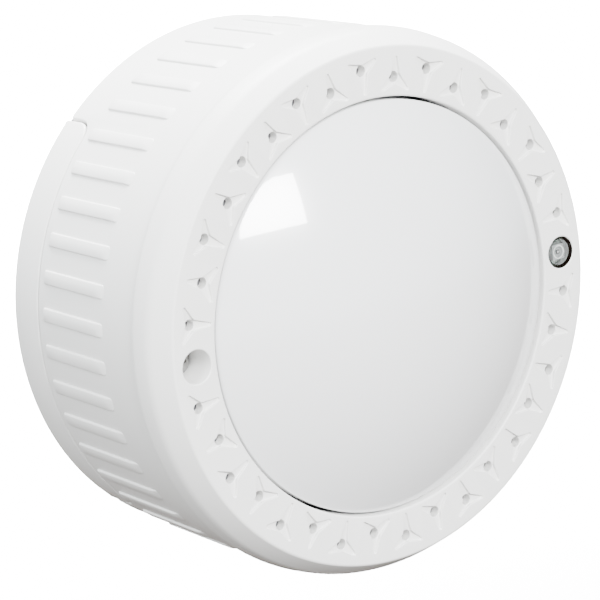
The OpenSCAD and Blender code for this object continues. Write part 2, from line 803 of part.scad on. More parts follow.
// Two ribs inside the skirt, one at each side of a tongue of the base
module tongue_guides() {
    rib_t = 1.4;
    inner = plate_r - base_wall_t - tongue_t + 0.4;
    rib_z = cover_z + cover_t + loose_gap;
    for (side = [-1, 1])
        translate([side * (tongue_w / 2 + head_gap + rib_t / 2) - rib_t / 2, inner, rib_z])
            cube([rib_t, body_r(notch_z) - housing_wall + 0.4 - inner, tongue_z - cover_z]);
}

module strobe_board() {
    color("seagreen") off_wall() difference() {
        post(strobe_board_r, strobe_board_z, strobe_board_z + board_t);
        for (clock = strobe_screw_clocks) at_clock(strobe_screw_circle_r, clock)
            post(strobe_screw_r + 0.2, strobe_board_z - over, strobe_board_z + board_t + over);
    }
}

module strobe_leds() {
    top = strobe_board_z + board_t;
    color("lightyellow") off_wall() for (i = [0:strobe_count - 1])
        at_clock(strobe_circle_r, i * 360 / strobe_count) difference() {
            block(strobe_side, strobe_side, top, top + 1.6);
            translate([0, 0, top + 1.1])
                cylinder(r1 = strobe_side * 0.32, r2 = strobe_side * 0.42, h = 0.5 + eps);
        }
}

module rear_cover() {
    color("whitesmoke") off_wall() difference() {
        union() {
            post(cover_r, cover_z, cover_z + cover_t);
            block(2 * (bay_half_x + bay_wall), 2 * (bay_half_y + bay_wall), cover_z, bay_top_z);
            for (x = [-1, 1], y = [-1, 1]) translate([x * board_post_x, y * board_post_y])
                post(small_head_r + 0.4, bay_top_z - eps, main_board_z);
            translate([0, -plunger_y]) post(guide_r, cover_z, guide_end_z);
            translate([learn_x, -plunger_y]) post(guide_r, cover_z, guide_end_z);
        }
        difference() {
            block(2 * bay_half_x, 2 * bay_half_y, cover_z - over, bay_floor_z);
            for (x = [-cradle_x, cradle_x]) translate([x, 0])
                block(2, 2 * bay_half_y + over, bay_floor_z - cradle_h, bay_floor_z + over);
        }
        for (x = [-1, 1], y = [-1, 1]) translate([x * board_post_x, y * board_post_y])
            post(small_screw_r + pilot_gap, bay_floor_z + 0.2, main_board_z + over);
        translate([0, -plunger_y]) post(guide_bore_r, cover_z - over, guide_end_z + over);
        translate([learn_x, -plunger_y]) post(guide_bore_r, cover_z - over, guide_end_z + over);
        for (clock = pillar_clocks) at_clock(pillar_circle_r, clock)
            post(small_screw_r + 0.3, cover_z - over, cover_z + cover_t + over);
        at_clock(well_circle_r, screw_clock) {
            post(boss_r + head_gap + 0.2, cover_z - over, cover_z + cover_t + over);
            translate([0, boss_r]) block(2 * (boss_r + head_gap + 0.2), 2 * boss_r, cover_z - over,
                cover_z + cover_t + over);
        }
        for (clock = [tongue_clock, 180 - tongue_clock]) at_clock(0, clock) tongue_slot();
    }
}

// Notch in the cover's edge that a tongue of the base passes through
module tongue_slot() {
    inner = plate_r - base_wall_t - tongue_t + 0.4 - head_gap;
    translate([-tongue_w / 2 - head_gap, inner, cover_z - over])
        cube([tongue_w + 2 * head_gap, ring_r - inner, cover_t + 2 * over]);
}

// Places the children at each cell: x runs towards the cell's positive end
module each_cell() {
    for (i = [0:3])
        translate([0, (i - 1.5) * cell_pitch, cell_z]) rotate(i % 2 == 0 ? 0 : 180) children();
}

module battery_cells() {
    color("dimgray") off_wall() each_cell() translate([cell_shift, 0, 0]) rotate([0, 90, 0]) {
        translate([0, 0, -cell_len / 2]) cylinder(r = cell_r, h = cell_len);
        translate([0, 0, cell_len / 2 - eps]) cylinder(r = cell_tip_r, h = cell_tip_len + eps);
    }
}

module contact_plate() {
    translate([-contact_t / 2, -5.5, -5.5]) cube([contact_t, 11, 11]);
}

module battery_springs() {
    color("silver") off_wall() each_cell() {
        translate([-bay_half_x + contact_t / 2, 0, 0]) contact_plate();
        translate([-bay_half_x + contact_t + 0.05, 0, 0]) rotate([0, 90, 0])
            coil(4.4, 2.6, contact_spring_len, 4, 0.4);
    }
}

module battery_plates() {
    color("silver") off_wall() each_cell()
        translate([bay_half_x - contact_t / 2, 0, 0]) contact_plate();
}

module main_board() {
    color("seagreen") off_wall() difference() {
        post(main_board_r, main_board_z, main_top_z);
        for (x = [-1, 1], y = [-1, 1]) translate([x * board_post_x, y * board_post_y])
            post(small_screw_r + 0.2, main_board_z - over, main_top_z + over);
    }
}

module siren_cup() {
    ledge_z = main_top_z + piezo_z + piezo_t;
    color("ivory") off_wall() difference() {
        post(cup_r, main_top_z, main_top_z + cup_h);
        post(piezo_r + 0.3, main_top_z - over, ledge_z);
        post(piezo_r - 2, ledge_z - over, main_top_z + cup_h - cup_wall);
        post(cup_port_r, main_top_z, main_top_z + cup_h + over);
        for (i = [0:cup_port_count - 1]) at_clock(cup_port_circle_r, i * 360 / cup_port_count)
            post(cup_port_r, main_top_z, main_top_z + cup_h + over);
    }
}

// Brass disc with its ceramic layer on the side of the board
module piezo_disc() {
    z = main_top_z + piezo_z;
    color("goldenrod") off_wall() {
        post(piezo_r, z, z + piezo_t);
        post(piezo_r * 0.7, z - 0.3, z + eps);
    }
}

module storage_capacitor() {
    color("darkslategray") off_wall()
        at_clock(main_board_r - board_edge - capacitor_r, capacitor_clock) {
            post(capacitor_r, main_top_z, main_top_z + 12);
            post(capacitor_r - 0.8, main_top_z + 12 - eps, main_top_z + 12.3);
        }
}

// Wound bobbin between two flanges
module drive_coil() {
    color("peru") off_wall() at_clock(main_board_r - board_edge - drive_coil_r, drive_coil_clock) {
        post(drive_coil_r, main_top_z, main_top_z + 1.2);
        post(drive_coil_r - 1, main_top_z + 1.2 - eps, main_top_z + 7);
        post(drive_coil_r, main_top_z + 7 - eps, main_top_z + 8.2);
    }
}

module radio_module() {
    color("silver") off_wall() translate([8.6 - main_board_r, 0]) {
        block(10, 14, main_top_z, main_top_z + 0.8);
        block(8.4, 10, main_top_z + 0.8 - eps, main_top_z + 3);
    }
}

module antenna_coil() {
    length = 18;
    color("goldenrod") off_wall() translate([-length / 2, main_board_r - 8, main_top_z + 3])
        rotate([0, 90, 0]) coil(2.5, 2.5, length, 9, 0.45, 12);
}

// A plug of two leads standing on a board
module plug(x, y) {
    block(x, y, 0, 4);
}

module strobe_leads() {
    foot = [-14, -36, main_top_z];
    top = [-12, -27, strobe_board_z];
    color("ivory") off_wall() {
        translate(foot) plug(6, 4);
        translate(top) mirror([0, 0, 1]) plug(6, 4);
    }
    for (side = [-1, 1]) color(side < 0 ? "firebrick" : "black") off_wall()
        wire(bend(foot + [side, 0, 3.9], foot + [side, 0, 9],
            top + [side, 0, -10], top + [side, 0, -3.9]), 0.6);
}

module status_leads() {
    foot = at(status_plug_r, status_plug_clock) + [0, 0, main_top_z];
    top = [well_circle_r, -4.4, status_board_z];
    gate = [port_in_r + lead_pitch, -8.4, deck_z];
    color("ivory") off_wall() translate(foot) plug(4, 5);
    for (side = [-0.5, 0.5]) color(side < 0 ? "firebrick" : "black") off_wall() {
        aside = [side * lead_pitch, 0, 0];
        upper = bend(top + aside, top + aside + [0, -0.5, -2], gate + aside + [0, 0, 4], gate + aside, 8);
        lower = bend(gate + aside, gate + aside + [0, 0, -7],
            foot + aside + [0, 0, 9], foot + aside + [0, 0, 3.9], 10);
        wire(concat(upper, [for (p = lower) if (p.z < deck_z - eps) p]), 0.45);
    }
}

// Push switch on the back of the main board
module push_switch(x) {
    off_wall() translate([x, -plunger_y]) {
        block(switch_side, switch_side, switch_z + 0.5, main_board_z);
        post(1.6, switch_z, switch_z + 0.5 + eps);
    }
}

module tamper_switch() {
    color("dimgray") push_switch(0);
}

module learn_switch() {
    color("dimgray") push_switch(learn_x);
}

module plunger(x, z0, flange_z) {
    off_wall() translate([x, -plunger_y]) {
        post(plunger_r, z0, flange_z + eps);
        post(plunger_flange_r, flange_z, flange_z + plunger_flange_t);
    }
}

module tamper_plunger() {
    color("lightgray") plunger(0, tamper_tip_gap, tamper_flange_z);
}

module learn_button() {
    color("lightgray") plunger(learn_x, learn_back_z, learn_flange_z);
}

module tamper_spring() {
    color("silver") off_wall() translate([0, -plunger_y, tamper_flange_z + plunger_flange_t])
        coil(2.2, 2.2, tamper_spring_len, 3, 0.25);
}

module ring_screws() {
    color("silver") off_wall() for (clock = ring_boss_clocks) at_clock(fork_circle_r, clock)
        small_screw(deck_under_z, 8);
}

module cover_screws() {
    color("silver") off_wall() for (clock = pillar_clocks) at_clock(pillar_circle_r, clock)
        small_screw(cover_z, cover_t + 7);
}

module main_board_screws() {
    color("silver") off_wall() for (x = [-1, 1], y = [-1, 1])
        translate([x * board_post_x, y * board_post_y, main_top_z]) mirror([0, 0, 1])
            small_screw(0, board_t + board_post_h + 0.6);
}

module strobe_board_screws() {
    color("silver") off_wall() for (clock = strobe_screw_clocks)
        at_clock(strobe_screw_circle_r, clock)
            translate([0, 0, strobe_board_z + board_t]) mirror([0, 0, 1])
                small_screw(0, board_t + deck_t + 1.6, strobe_screw_r);
}

// Long captive screw from the well to the base's insert, with a cross recess
module lock_screw() {
    top = face_z - well_d;
    groove_z = screw_pillar_z() - 0.4 - retainer_t;
    color("gainsboro") off_wall() at_clock(well_circle_r, screw_clock) difference() {
        union() {
            intersection() {
                post(screw_head_r, top - screw_head_h, top);
                translate([0, 0, top - 3 * screw_head_r]) sphere(3 * screw_head_r);
            }
            post(screw_r, screw_tip_z, top - screw_head_h + eps);
        }
        tube(screw_r + over, screw_r - retainer_groove_d, groove_z, groove_z + retainer_t);
        for (turn = [0, 90]) rotate(turn) block(3.4, 0.8, top - 1.3, top + over);
    }
}

module screw_washer() {
    color("black") off_wall() at_clock(well_circle_r, screw_clock)
        tube(well_r - 0.15, screw_r + screw_fit, well_floor_z, well_floor_z + washer_t);
}

module retaining_ring() {
    z = screw_pillar_z() - 0.4 - retainer_t;
    color("silver") off_wall() at_clock(well_circle_r, screw_clock) difference() {
        tube(retainer_r, screw_r - retainer_groove_d + 0.03, z + 0.03, z + retainer_t - 0.03);
        translate([0, retainer_r]) block(1.6, 2 * retainer_r, z - over, z + retainer_t + over);
    }
}

mounting_base();
threaded_insert();
front_ring();
strobe_dome();
dome_seal();
sound_mesh();
status_lens();
status_board();
status_led();
status_leads();
main_housing();
strobe_board();
strobe_leds();
strobe_leads();
rear_cover();
battery_cells();
battery_springs();
battery_plates();
main_board();
siren_cup();
piezo_disc();
storage_capacitor();
drive_coil();
radio_module();
antenna_coil();
tamper_switch();
learn_switch();
ring_screws();
cover_screws();
main_board_screws();
strobe_board_screws();
lock_screw();
screw_washer();
retaining_ring();
tamper_plunger();
tamper_spring();
learn_button();
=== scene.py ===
import json
import math

import bmesh
import bpy
from mathutils import Matrix, Vector
from mathutils.geometry import delaunay_2d_cdt


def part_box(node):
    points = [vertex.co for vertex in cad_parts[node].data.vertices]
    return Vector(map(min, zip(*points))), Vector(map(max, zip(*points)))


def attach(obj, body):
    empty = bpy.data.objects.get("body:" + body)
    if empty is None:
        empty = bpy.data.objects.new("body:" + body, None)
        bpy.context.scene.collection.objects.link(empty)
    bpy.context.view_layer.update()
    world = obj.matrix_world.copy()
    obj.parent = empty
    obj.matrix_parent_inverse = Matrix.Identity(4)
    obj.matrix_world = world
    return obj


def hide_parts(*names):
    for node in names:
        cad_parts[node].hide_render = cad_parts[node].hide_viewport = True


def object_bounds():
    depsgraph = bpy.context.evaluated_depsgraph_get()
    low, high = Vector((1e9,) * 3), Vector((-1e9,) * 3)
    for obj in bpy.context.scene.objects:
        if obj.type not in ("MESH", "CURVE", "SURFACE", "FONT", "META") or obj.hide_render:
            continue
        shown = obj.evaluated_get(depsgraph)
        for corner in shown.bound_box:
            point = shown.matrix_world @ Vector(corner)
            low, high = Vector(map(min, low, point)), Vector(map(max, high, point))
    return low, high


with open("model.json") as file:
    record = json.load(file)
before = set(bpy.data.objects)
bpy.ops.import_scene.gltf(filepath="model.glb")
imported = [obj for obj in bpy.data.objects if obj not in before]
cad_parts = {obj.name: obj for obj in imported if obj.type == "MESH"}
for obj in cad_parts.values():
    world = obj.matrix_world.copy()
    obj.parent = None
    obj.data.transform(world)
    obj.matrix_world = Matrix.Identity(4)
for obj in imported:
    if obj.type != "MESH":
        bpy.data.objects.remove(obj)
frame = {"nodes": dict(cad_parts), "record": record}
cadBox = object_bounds()
nodes = frame["nodes"]
mm = 0.001                      # every size below is in millimetres
tiny = 1e-6
weldGap = 2e-6                  # metres
thinEdge = 1e-7
print("stage 1: frame loaded")


def corners(node):
    low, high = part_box(node)
    return Vector(low) / mm, Vector(high) / mm


# Points are given as x to the right, y upwards and z out of the wall
def offWall(x, y, z):
    return Vector((x, -z, y)) * mm


def onClock(r, clock, z):
    angle = math.radians(clock)
    return (r * math.sin(angle), r * math.cos(angle), z)


ringLow, ringHigh = corners("front_ring")
faceZ = -ringLow.y
ringR = ringHigh.x
screwClock = 270
statusClock = 90


# Points of an arc that rounds the corner b between its neighbours a and c
def roundCorner(a, b, c, r, steps):
    u = (a - b).normalized()
    v = (c - b).normalized()
    half = math.acos(max(-1, min(1, u.dot(v)))) / 2
    middle = b + (u + v).normalized() * (r / math.sin(half))
    start = b + u * (r / math.tan(half)) - middle
    end = b + v * (r / math.tan(half)) - middle
    turn = math.atan2(start.x * end.y - start.y * end.x, start.dot(end))
    first = math.atan2(start.y, start.x)
    return [middle + Vector((math.cos(first + turn * i / steps), math.sin(first + turn * i / steps))) * r
            for i in range(steps + 1)]


# A closed outline from corners (x, y, rounding radius)
def rounded(corner, steps=6):
    spots = [Vector((c[0], c[1])) for c in corner]
    outline = []
    for i, c in enumerate(corner):
        if c[2] > 0:
            outline += roundCorner(spots[i - 1], spots[i], spots[(i + 1) % len(corner)], c[2], steps)
        else:
            outline.append(spots[i])
    return outline


# Evenly spaced points along a closed outline
def resample(outline, count):
    ends = [(outline[(i + 1) % len(outline)] - p).length for i, p in enumerate(outline)]
    total = sum(ends)
    points = []
    i, passed = 0, 0.0
    for k in range(count):
        goal = total * k / count
        while passed + ends[i] < goal:
            passed += ends[i]
            i += 1
        points.append(outline[i].lerp(outline[(i + 1) % len(outline)], (goal - passed) / ends[i]))
    return points


# A mesh under construction, in wall coordinates, whose vertices may be shared
class Shape:
    def __init__(self):
        self.points = []
        self.faces = []
        self.sharp = []

    def add(self, points):
        first = len(self.points)
        self.points += [tuple(p) for p in points]
        return list(range(first, first + len(points)))

    def loop(self, points, sharp=False):
        ids = self.add(points)
        if sharp:
            self.sharp += [(ids[i], ids[(i + 1) % len(ids)]) for i in range(len(ids))]
        return ids

    def bridge(self, a, b, closed=True):
        n = len(a)
        for i in range(n if closed else n - 1):
            j = (i + 1) % n
            self.faces.append(tuple(dict.fromkeys((a[i], a[j], b[j], b[i]))))

    def lathe(self, profile, steps, closed=True, turn=0.0, span=360.0):
        rows = []
        columns = steps if span >= 360 else steps + 1
        for p in profile:
            if p[0] < tiny:
                rows.append(self.add([(0, 0, p[1])]) * columns)
            else:
                rows.append(self.add([onClock(p[0], turn + span * i / steps, p[1]) for i in range(columns)]))
        pairs = list(zip(rows, rows[1:]))
        if closed:
            pairs.append((rows[-1], rows[0]))
        for a, b in pairs:
            self.bridge(a, b, span >= 360)
        if span < 360 and closed:
            self.faces.append(tuple(row[0] for row in rows))
            self.faces.append(tuple(row[-1] for row in rows))
        return rows

    # Fills flat outlines, given as lists of vertex numbers, and leaves the holes open
    def fill(self, outer, holes, flat):
        ids = list(outer)
        for hole in holes:
            ids += hole
        spots = [Vector(flat(self.points[i])) for i in ids]
        edges = []
        first = 0
        for ring in [outer] + holes:
            edges += [(first + i, first + (i + 1) % len(ring)) for i in range(len(ring))]
            first += len(ring)
        out = delaunay_2d_cdt(spots, edges, [], 0, thinEdge)
        loops = [[Vector(flat(self.points[i])) for i in ring] for ring in [outer] + holes]
        for face in out[2]:
            middle = sum((out[0][i] for i in face), Vector((0, 0))) / len(face)
            if inside(middle, loops[0]) and not any(inside(middle, hole) for hole in loops[1:]):
                self.faces.append(tuple(ids[out[3][i][0]] for i in face))

    def mesh(self, name, smooth=35):
        mesh = bpy.data.meshes.new(name)
        mesh.from_pydata([offWall(*p) for p in self.points], [], self.faces)
        bm = bmesh.new()
        bm.from_mesh(mesh)
        bm.verts.ensure_lookup_table()
        for a, b in self.sharp:
            edge = bm.edges.get((bm.verts[a], bm.verts[b]))
            if edge:
                edge.smooth = False
        finishMesh(bm, mesh, smooth)
        return mesh


# Welds, turns the faces outwards, and shades smoothly but for edges sharper than so many degrees
def finishMesh(bm, mesh, smooth):
    bmesh.ops.remove_doubles(bm, verts=bm.verts, dist=weldGap)
    bmesh.ops.dissolve_degenerate(bm, edges=bm.edges, dist=thinEdge)
    bmesh.ops.recalc_face_normals(bm, faces=bm.faces)
    for edge in bm.edges:
        if len(edge.link_faces) == 2 and edge.calc_face_angle() > math.radians(smooth):
            edge.smooth = False
    for face in bm.faces:
        face.smooth = True
    bm.to_mesh(mesh)
    bm.free()


# Whether a point is inside a closed outline
def inside(p, loop):
    odd = False
    j = len(loop) - 1
    for i in range(len(loop)):
        a, b = loop[i], loop[j]
        if (a.y > p.y) != (b.y > p.y) and p.x < (b.x - a.x) * (p.y - a.y) / (b.y - a.y) + a.x:
            odd = not odd
        j = i
    return odd


# Points round a circle that lies flat to the wall
def circleAt(x, y, r, z, count, turn=0.0):
    spin = [2 * math.pi * i / count + turn for i in range(count)]
    return [(x + r * math.cos(t), y + r * math.sin(t), z) for t in spin]


# Puts a finished mesh in the scene, on its body
def place(name, mesh, finish, body, replaced=()):
    piece = bpy.data.objects.new(name, mesh)
    mesh.materials.clear()
    mesh.materials.append(finish)
    bpy.context.scene.collection.objects.link(piece)
    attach(piece, body)
    if replaced:
        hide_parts(*replaced)
    return piece


# Adds a node at a spot in its tree, with its settings and the values of its inputs
def nodeAt(tree, kind, spot, inputs=None, **settings):
    node = tree.nodes.new(kind)
    node.location = spot
    for name, value in settings.items():
        setattr(node, name, value)
    for socket, value in (inputs or {}).items():
        node.inputs[socket].default_value = value
    return node


# Copies of a unit turned about the axis, at even steps, with every so many of them left out
def turnTree():
    tree = bpy.data.node_groups.new("turned about the axis", "GeometryNodeTree")
    for name, kind in (("Geometry", "Geometry"), ("Unit", "Object"), ("Count", "Int"), ("Step", "Float"),
                       ("Start", "Float"), ("Leave Out Every", "Int"), ("Leave Out At", "Int"),
                       ("Finish", "Material")):
        tree.interface.new_socket(name, in_out="INPUT", socket_type="NodeSocket" + kind)
    tree.interface.new_socket("Geometry", in_out="OUTPUT", socket_type="NodeSocketGeometry")
    given = nodeAt(tree, "NodeGroupInput", (-900, 0))
    line = nodeAt(tree, "GeometryNodeMeshLine", (-650, 200), {"Offset": (0, 0, 0)})
    index = nodeAt(tree, "GeometryNodeInputIndex", (-900, -300))
    angle = nodeAt(tree, "ShaderNodeMath", (-650, -200), operation="MULTIPLY_ADD")
    about = nodeAt(tree, "ShaderNodeCombineXYZ", (-450, -200))
    remainder = nodeAt(tree, "FunctionNodeIntegerMath", (-650, -400), operation="MODULO")
    kept = nodeAt(tree, "FunctionNodeCompare", (-450, -400), data_type="INT", operation="NOT_EQUAL")
    unit = nodeAt(tree, "GeometryNodeObjectInfo", (-450, 0))
    copies = nodeAt(tree, "GeometryNodeInstanceOnPoints", (-200, 100))
    real = nodeAt(tree, "GeometryNodeRealizeInstances", (0, 100))
    finish = nodeAt(tree, "GeometryNodeSetMaterial", (200, 100))
    out = nodeAt(tree, "NodeGroupOutput", (400, 100))
    link = tree.links.new
    link(given.outputs["Count"], line.inputs["Count"])
    link(given.outputs["Step"], angle.inputs[1])
    link(given.outputs["Start"], angle.inputs[2])
    link(index.outputs["Index"], angle.inputs[0])
    link(angle.outputs[0], about.inputs["Y"])
    link(index.outputs["Index"], remainder.inputs[0])
    link(given.outputs["Leave Out Every"], remainder.inputs[1])
    link(remainder.outputs[0], kept.inputs[2])
    link(given.outputs["Leave Out At"], kept.inputs[3])
    link(given.outputs["Unit"], unit.inputs["Object"])
    link(line.outputs["Mesh"], copies.inputs["Points"])
    link(kept.outputs["Result"], copies.inputs["Selection"])
    link(unit.outputs["Geometry"], copies.inputs["Instance"])
    link(about.outputs["Vector"], copies.inputs["Rotation"])
    link(copies.outputs["Instances"], real.inputs["Geometry"])
    link(real.outputs["Geometry"], finish.inputs["Geometry"])
    link(given.outputs["Finish"], finish.inputs["Material"])
    link(finish.outputs["Geometry"], out.inputs["Geometry"])
    return tree


turnedCopies = turnTree()


def copiesTurned(name, unitMesh, finish, count, step, start=0.0, leaveOut=(1000, 999)):
    unit = bpy.data.objects.new(name + " unit", unitMesh)
    carrier = bpy.data.objects.new(name, bpy.data.meshes.new(name))
    for thing in (unit, carrier):
        bpy.context.scene.collection.objects.link(thing)
    modifier = carrier.modifiers.new("turned", "NODES")
    modifier.node_group = turnedCopies
    values = {"Unit": unit, "Count": count, "Step": math.radians(step), "Start": math.radians(start),
              "Leave Out Every": leaveOut[0], "Leave Out At": leaveOut[1], "Finish": finish}
    for socket in turnedCopies.interface.items_tree:
        if socket.in_out == "INPUT" and socket.name in values:
            modifier[socket.identifier] = values[socket.name]
    carrier.update_tag()
    seen = carrier.evaluated_get(bpy.context.evaluated_depsgraph_get())
    mesh = bpy.data.meshes.new_from_object(seen)
    for thing in (unit, carrier):
        bpy.data.objects.remove(thing)
    return mesh


def joined(name, meshes, smooth=35):
    bm = bmesh.new()
    for mesh in meshes:
        bm.from_mesh(mesh)
    whole = bpy.data.meshes.new(name)
    finishMesh(bm, whole, smooth)
    return whole


ring = {
    "depth": 9.8,
    "slopeWidth": 3.4,
    "bandWidth": 10.9,
    "faceThickness": faceZ + corners("sound_mesh")[0].y,
    "kneeInset": 0.45,          # the bend in its side, from the widest radius
    "kneeShare": 0.52,          # how far down its depth the bend lies
    "kneeR": 6,
    "edgeLand": 1,              # straight part above the seam
    "innerWall": 1.4,
    "innerWallDepth": 5.6,
    "spigotInset": 2.95,        # from the widest radius
    "spigotWall": 1.6,
    "spigotLength": 2.0,
    "spigotFillet": 0.2,
    "shoulder": 2,              # from the face's underside to where the spigot's inside begins
    "underInset": 1.6,
    "faceFillet": 0.8,
    "openingFillet": 0.45,
    "seamFillet": 0.35,
    "deckGap": 0.2,             # between its spigot and the housing's deck
    "places": 36,
    "facets": 8,                # across one place
}
recess = {
    "forkInset": 4.6,           # from the edge of the face
    "spearInset": 6.8,
    "fork": ((63, 4.3), (180, 5.2), (-63, 4.3)),     # clock angle and length of each lobe
    "spear": ((0, 4.4), (128, 4.6), (-128, 4.6)),
    "spearLeftOut": (9, 4),     # of every so many spears, the one at this place
    "rootR": 1.32,
    "tipR": 0.34,
    "tipRound": 0.9,            # share of the tip's radius on each of its two corners
    "tipEase": 0.02,
    "cornerR": 0.45,
    "cornerSteps": 7,
    "holeR": 1.2,
    "holeLip": 0.035,
    "holeRows": (0.04, 0.48),   # below the floor
    "depth": 0.85,
    "tipDepth": 0.38,
    "tipAt": 5.2,               # where the floor has risen to the tip's depth
    "lip": 0.14,
    "wallDraft": 0.015,
    "footInset": 0.07,
    "footRise": 0.05,
    "floorRows": (0.35, 0.7, 1.0),
    "rimDrop": 0.01,
    "around": 132,
}
well = {
    "inset": 5.8,
    "r": 3.65,
    "wall": 1.2,
    "depth": 9.0,
    "lip": 0.3,
    "screwHoleR": 1.56,
    "collarDrop": 0.6,          # from the face down to the top of its tube
    "collarInset": 0.5,
    "around": 72,
}
window = {"inset": 5.8, "r": 3.63, "lip": 0.25, "underReach": 2, "around": 72}

faceR = ringR - ring["slopeWidth"]
openR = faceR - ring["bandWidth"]
seamZ = faceZ - ring["depth"]
sealZ = faceZ - ring["innerWallDepth"]
underZ = faceZ - ring["faceThickness"]
spigotR = ringR - ring["spigotInset"]
wellR = faceR - well["inset"]
windowR = faceR - window["inset"]
deckZ = seamZ - ring["spigotLength"] - ring["deckGap"]
underIn = openR + ring["innerWall"]
underOut = faceR - ring["underInset"]


# The ring's section, split where the face ends: the outer walls, and the walls round the opening
def ringSection():
    spigotZ = seamZ - ring["spigotLength"]
    spigotIn = spigotR - ring["spigotWall"]
    outline = rounded([
        (openR, sealZ, 0),
        (openR, faceZ, ring["openingFillet"]),
        (faceR, faceZ, ring["faceFillet"]),
        (ringR - ring["kneeInset"], faceZ - ring["kneeShare"] * ring["depth"], ring["kneeR"]),
        (ringR, seamZ + ring["edgeLand"], 0),
        (ringR, seamZ, ring["seamFillet"]),
        (spigotR, seamZ, 0),
        (spigotR, spigotZ, ring["spigotFillet"]),
        (spigotIn, spigotZ, 0),
        (spigotIn, underZ - ring["shoulder"], 0),
        (underOut, underZ, 0),
        (underIn, underZ, 0),
        (underIn, sealZ, 0),
    ])
    faceStart = max(i for i, p in enumerate(outline) if abs(p.y - faceZ) < 1e-4 and p.x < openR + 1)
    under = [i for i, p in enumerate(outline) if abs(p.y - underZ) < 1e-4]
    return (outline[faceStart + 1:under[0] + 1], outline[under[1]:] + outline[:faceStart + 1])


outerSection, innerSection = ringSection()
bandIn, bandOut = innerSection[-1].x, outerSection[0].x


# The outline of three lobes round a hole, each narrowing from the root to a small tip
def starOutline(lobes):
    rootR, tipR = recess["rootR"], recess["tipR"]
    corner = []
    for i, (clock, length) in enumerate(lobes):
        nextClock = lobes[(i + 1) % 3][0]
        lean = math.asin((rootR - tipR) / (length - tipR))
        between = ((nextClock - clock) % 360) / 2
        reach = rootR / math.sin(lean + math.radians(between))
        tipHalf = tipR / math.cos(lean) - tipR * math.tan(lean) + recess["tipEase"]
        for side in (-1, 1):
            c = math.radians(clock)
            corner.append((length * math.sin(c) + side * tipHalf * math.cos(c),
                           length * math.cos(c) - side * tipHalf * math.sin(c), tipR * recess["tipRound"]))
        c = math.radians(clock + between)
        corner.append((reach * math.sin(c), reach * math.cos(c), recess["cornerR"]))
    return resample(rounded(corner, recess["cornerSteps"]), recess["around"])


# An outline moved outwards by so much
def grown(outline, amount):
    n = len(outline)
    points = []
    for i, p in enumerate(outline):
        along = (outline[(i + 1) % n] - outline[i - 1]).normalized()
        points.append(p + Vector((-along.y, along.x)) * amount)
    return points


# Rings of points that run from the face over a rounded lip into the recess and through its hole
def recessLoops(shape, lobes, r):
    outline = starOutline(lobes)
    lip, holeR = recess["lip"], recess["holeR"]
    slopeR = recess["tipAt"] * recess["depth"] / (recess["depth"] - recess["tipDepth"])
    centre = Vector((0, r))

    def floorZ(p):
        return faceZ - recess["depth"] * (1 - p.length / slopeR)

    loops = []
    for turn in (0, 30, 60, 90):
        a = math.radians(turn)
        out = grown(outline, lip * (1 - math.sin(a)))
        z = faceZ - lip * (1 - math.cos(a))
        loops.append(shape.loop([(*(p + centre), z) for p in out], sharp=turn == 0))
    wall = grown(outline, -recess["wallDraft"])
    loops.append(shape.loop([(*(p + centre), floorZ(p) + recess["footRise"]) for p in wall]))
    least = holeR + 0.05        # the floor never closes in on the hole's edge
    foot = [p if p.length > least else p.normalized() * least for p in grown(outline, -recess["footInset"])]
    loops.append(shape.loop([(*(p + centre), floorZ(p)) for p in foot]))
    edge = [p.normalized() * (holeR + recess["holeLip"]) for p in foot]
    for t in recess["floorRows"]:
        drop = recess["rimDrop"] if t == 1 else 0
        row = [p.lerp(q, t) for p, q in zip(foot, edge)]
        loops.append(shape.loop([(*(p + centre), floorZ(p) - drop) for p in row]))
    tube = [p.normalized() * holeR for p in foot]
    for drop in recess["holeRows"]:
        loops.append(shape.loop([(*(p + centre), floorZ(p) - drop) for p in tube]))
    loops.append(shape.loop([(*(p + centre), underZ) for p in tube], sharp=True))
    for a, b in zip(loops, loops[1:]):
        shape.bridge(a, b)
    return loops[0], loops[-1]


# The same for a round hole, straight down to its lower end
def roundLoops(shape, r, size, under):
    loops = []
    for turn in (0, 22.5, 45, 67.5, 90):
        a = math.radians(turn)
        mouth = circleAt(0, r, size["r"] + size["lip"] * (1 - math.sin(a)),
                         faceZ - size["lip"] * (1 - math.cos(a)), size["around"])
        loops.append(shape.loop(mouth, sharp=turn == 0))
    loops.append(shape.loop(circleAt(0, r, size["r"], under, size["around"])))
    for one, two in zip(loops, loops[1:]):
        shape.bridge(one, two)
    return loops[0], loops[-1]


# Points along one place's share of a circle
def arcPoints(r, z, flip=False):
    half = 180 / ring["places"]
    spots = [onClock(r, -half + 2 * half * i / ring["facets"], z) for i in range(ring["facets"] + 1)]
    return spots[::-1] if flip else spots


# The flat part of one place between two circles, with its holes left open
def flatPlace(shape, inner, outer, z, holes):
    first = shape.add(arcPoints(inner, z))
    last = shape.add(arcPoints(outer, z, True))
    shape.fill(first + last, holes, lambda p: (p[0], p[1]))


def recessPlace(lobes, r):
    shape = Shape()
    top, bottom = recessLoops(shape, lobes, r)
    flatPlace(shape, bandIn, bandOut, faceZ, [top])
    flatPlace(shape, underIn, underOut, underZ, [bottom])
    return shape.mesh("place")


def wellPlace():
    shape = Shape()
    tubeR = well["r"] + well["wall"]
    floorZ, collarZ = faceZ - well["depth"], faceZ - well["collarDrop"]
    top, bottom = roundLoops(shape, wellR, well, floorZ)
    flatPlace(shape, bandIn, bandOut, faceZ, [top])
    loops = [bottom]
    for r, z in ((well["screwHoleR"], floorZ), (well["screwHoleR"], deckZ), (tubeR, deckZ),
                 (tubeR, collarZ), (tubeR - well["collarInset"], collarZ)):
        loops.append(shape.loop(circleAt(0, wellR, r, z, well["around"])))
    for one, two in zip(loops, loops[1:]):
        shape.bridge(one, two)
    return shape.mesh("well place")


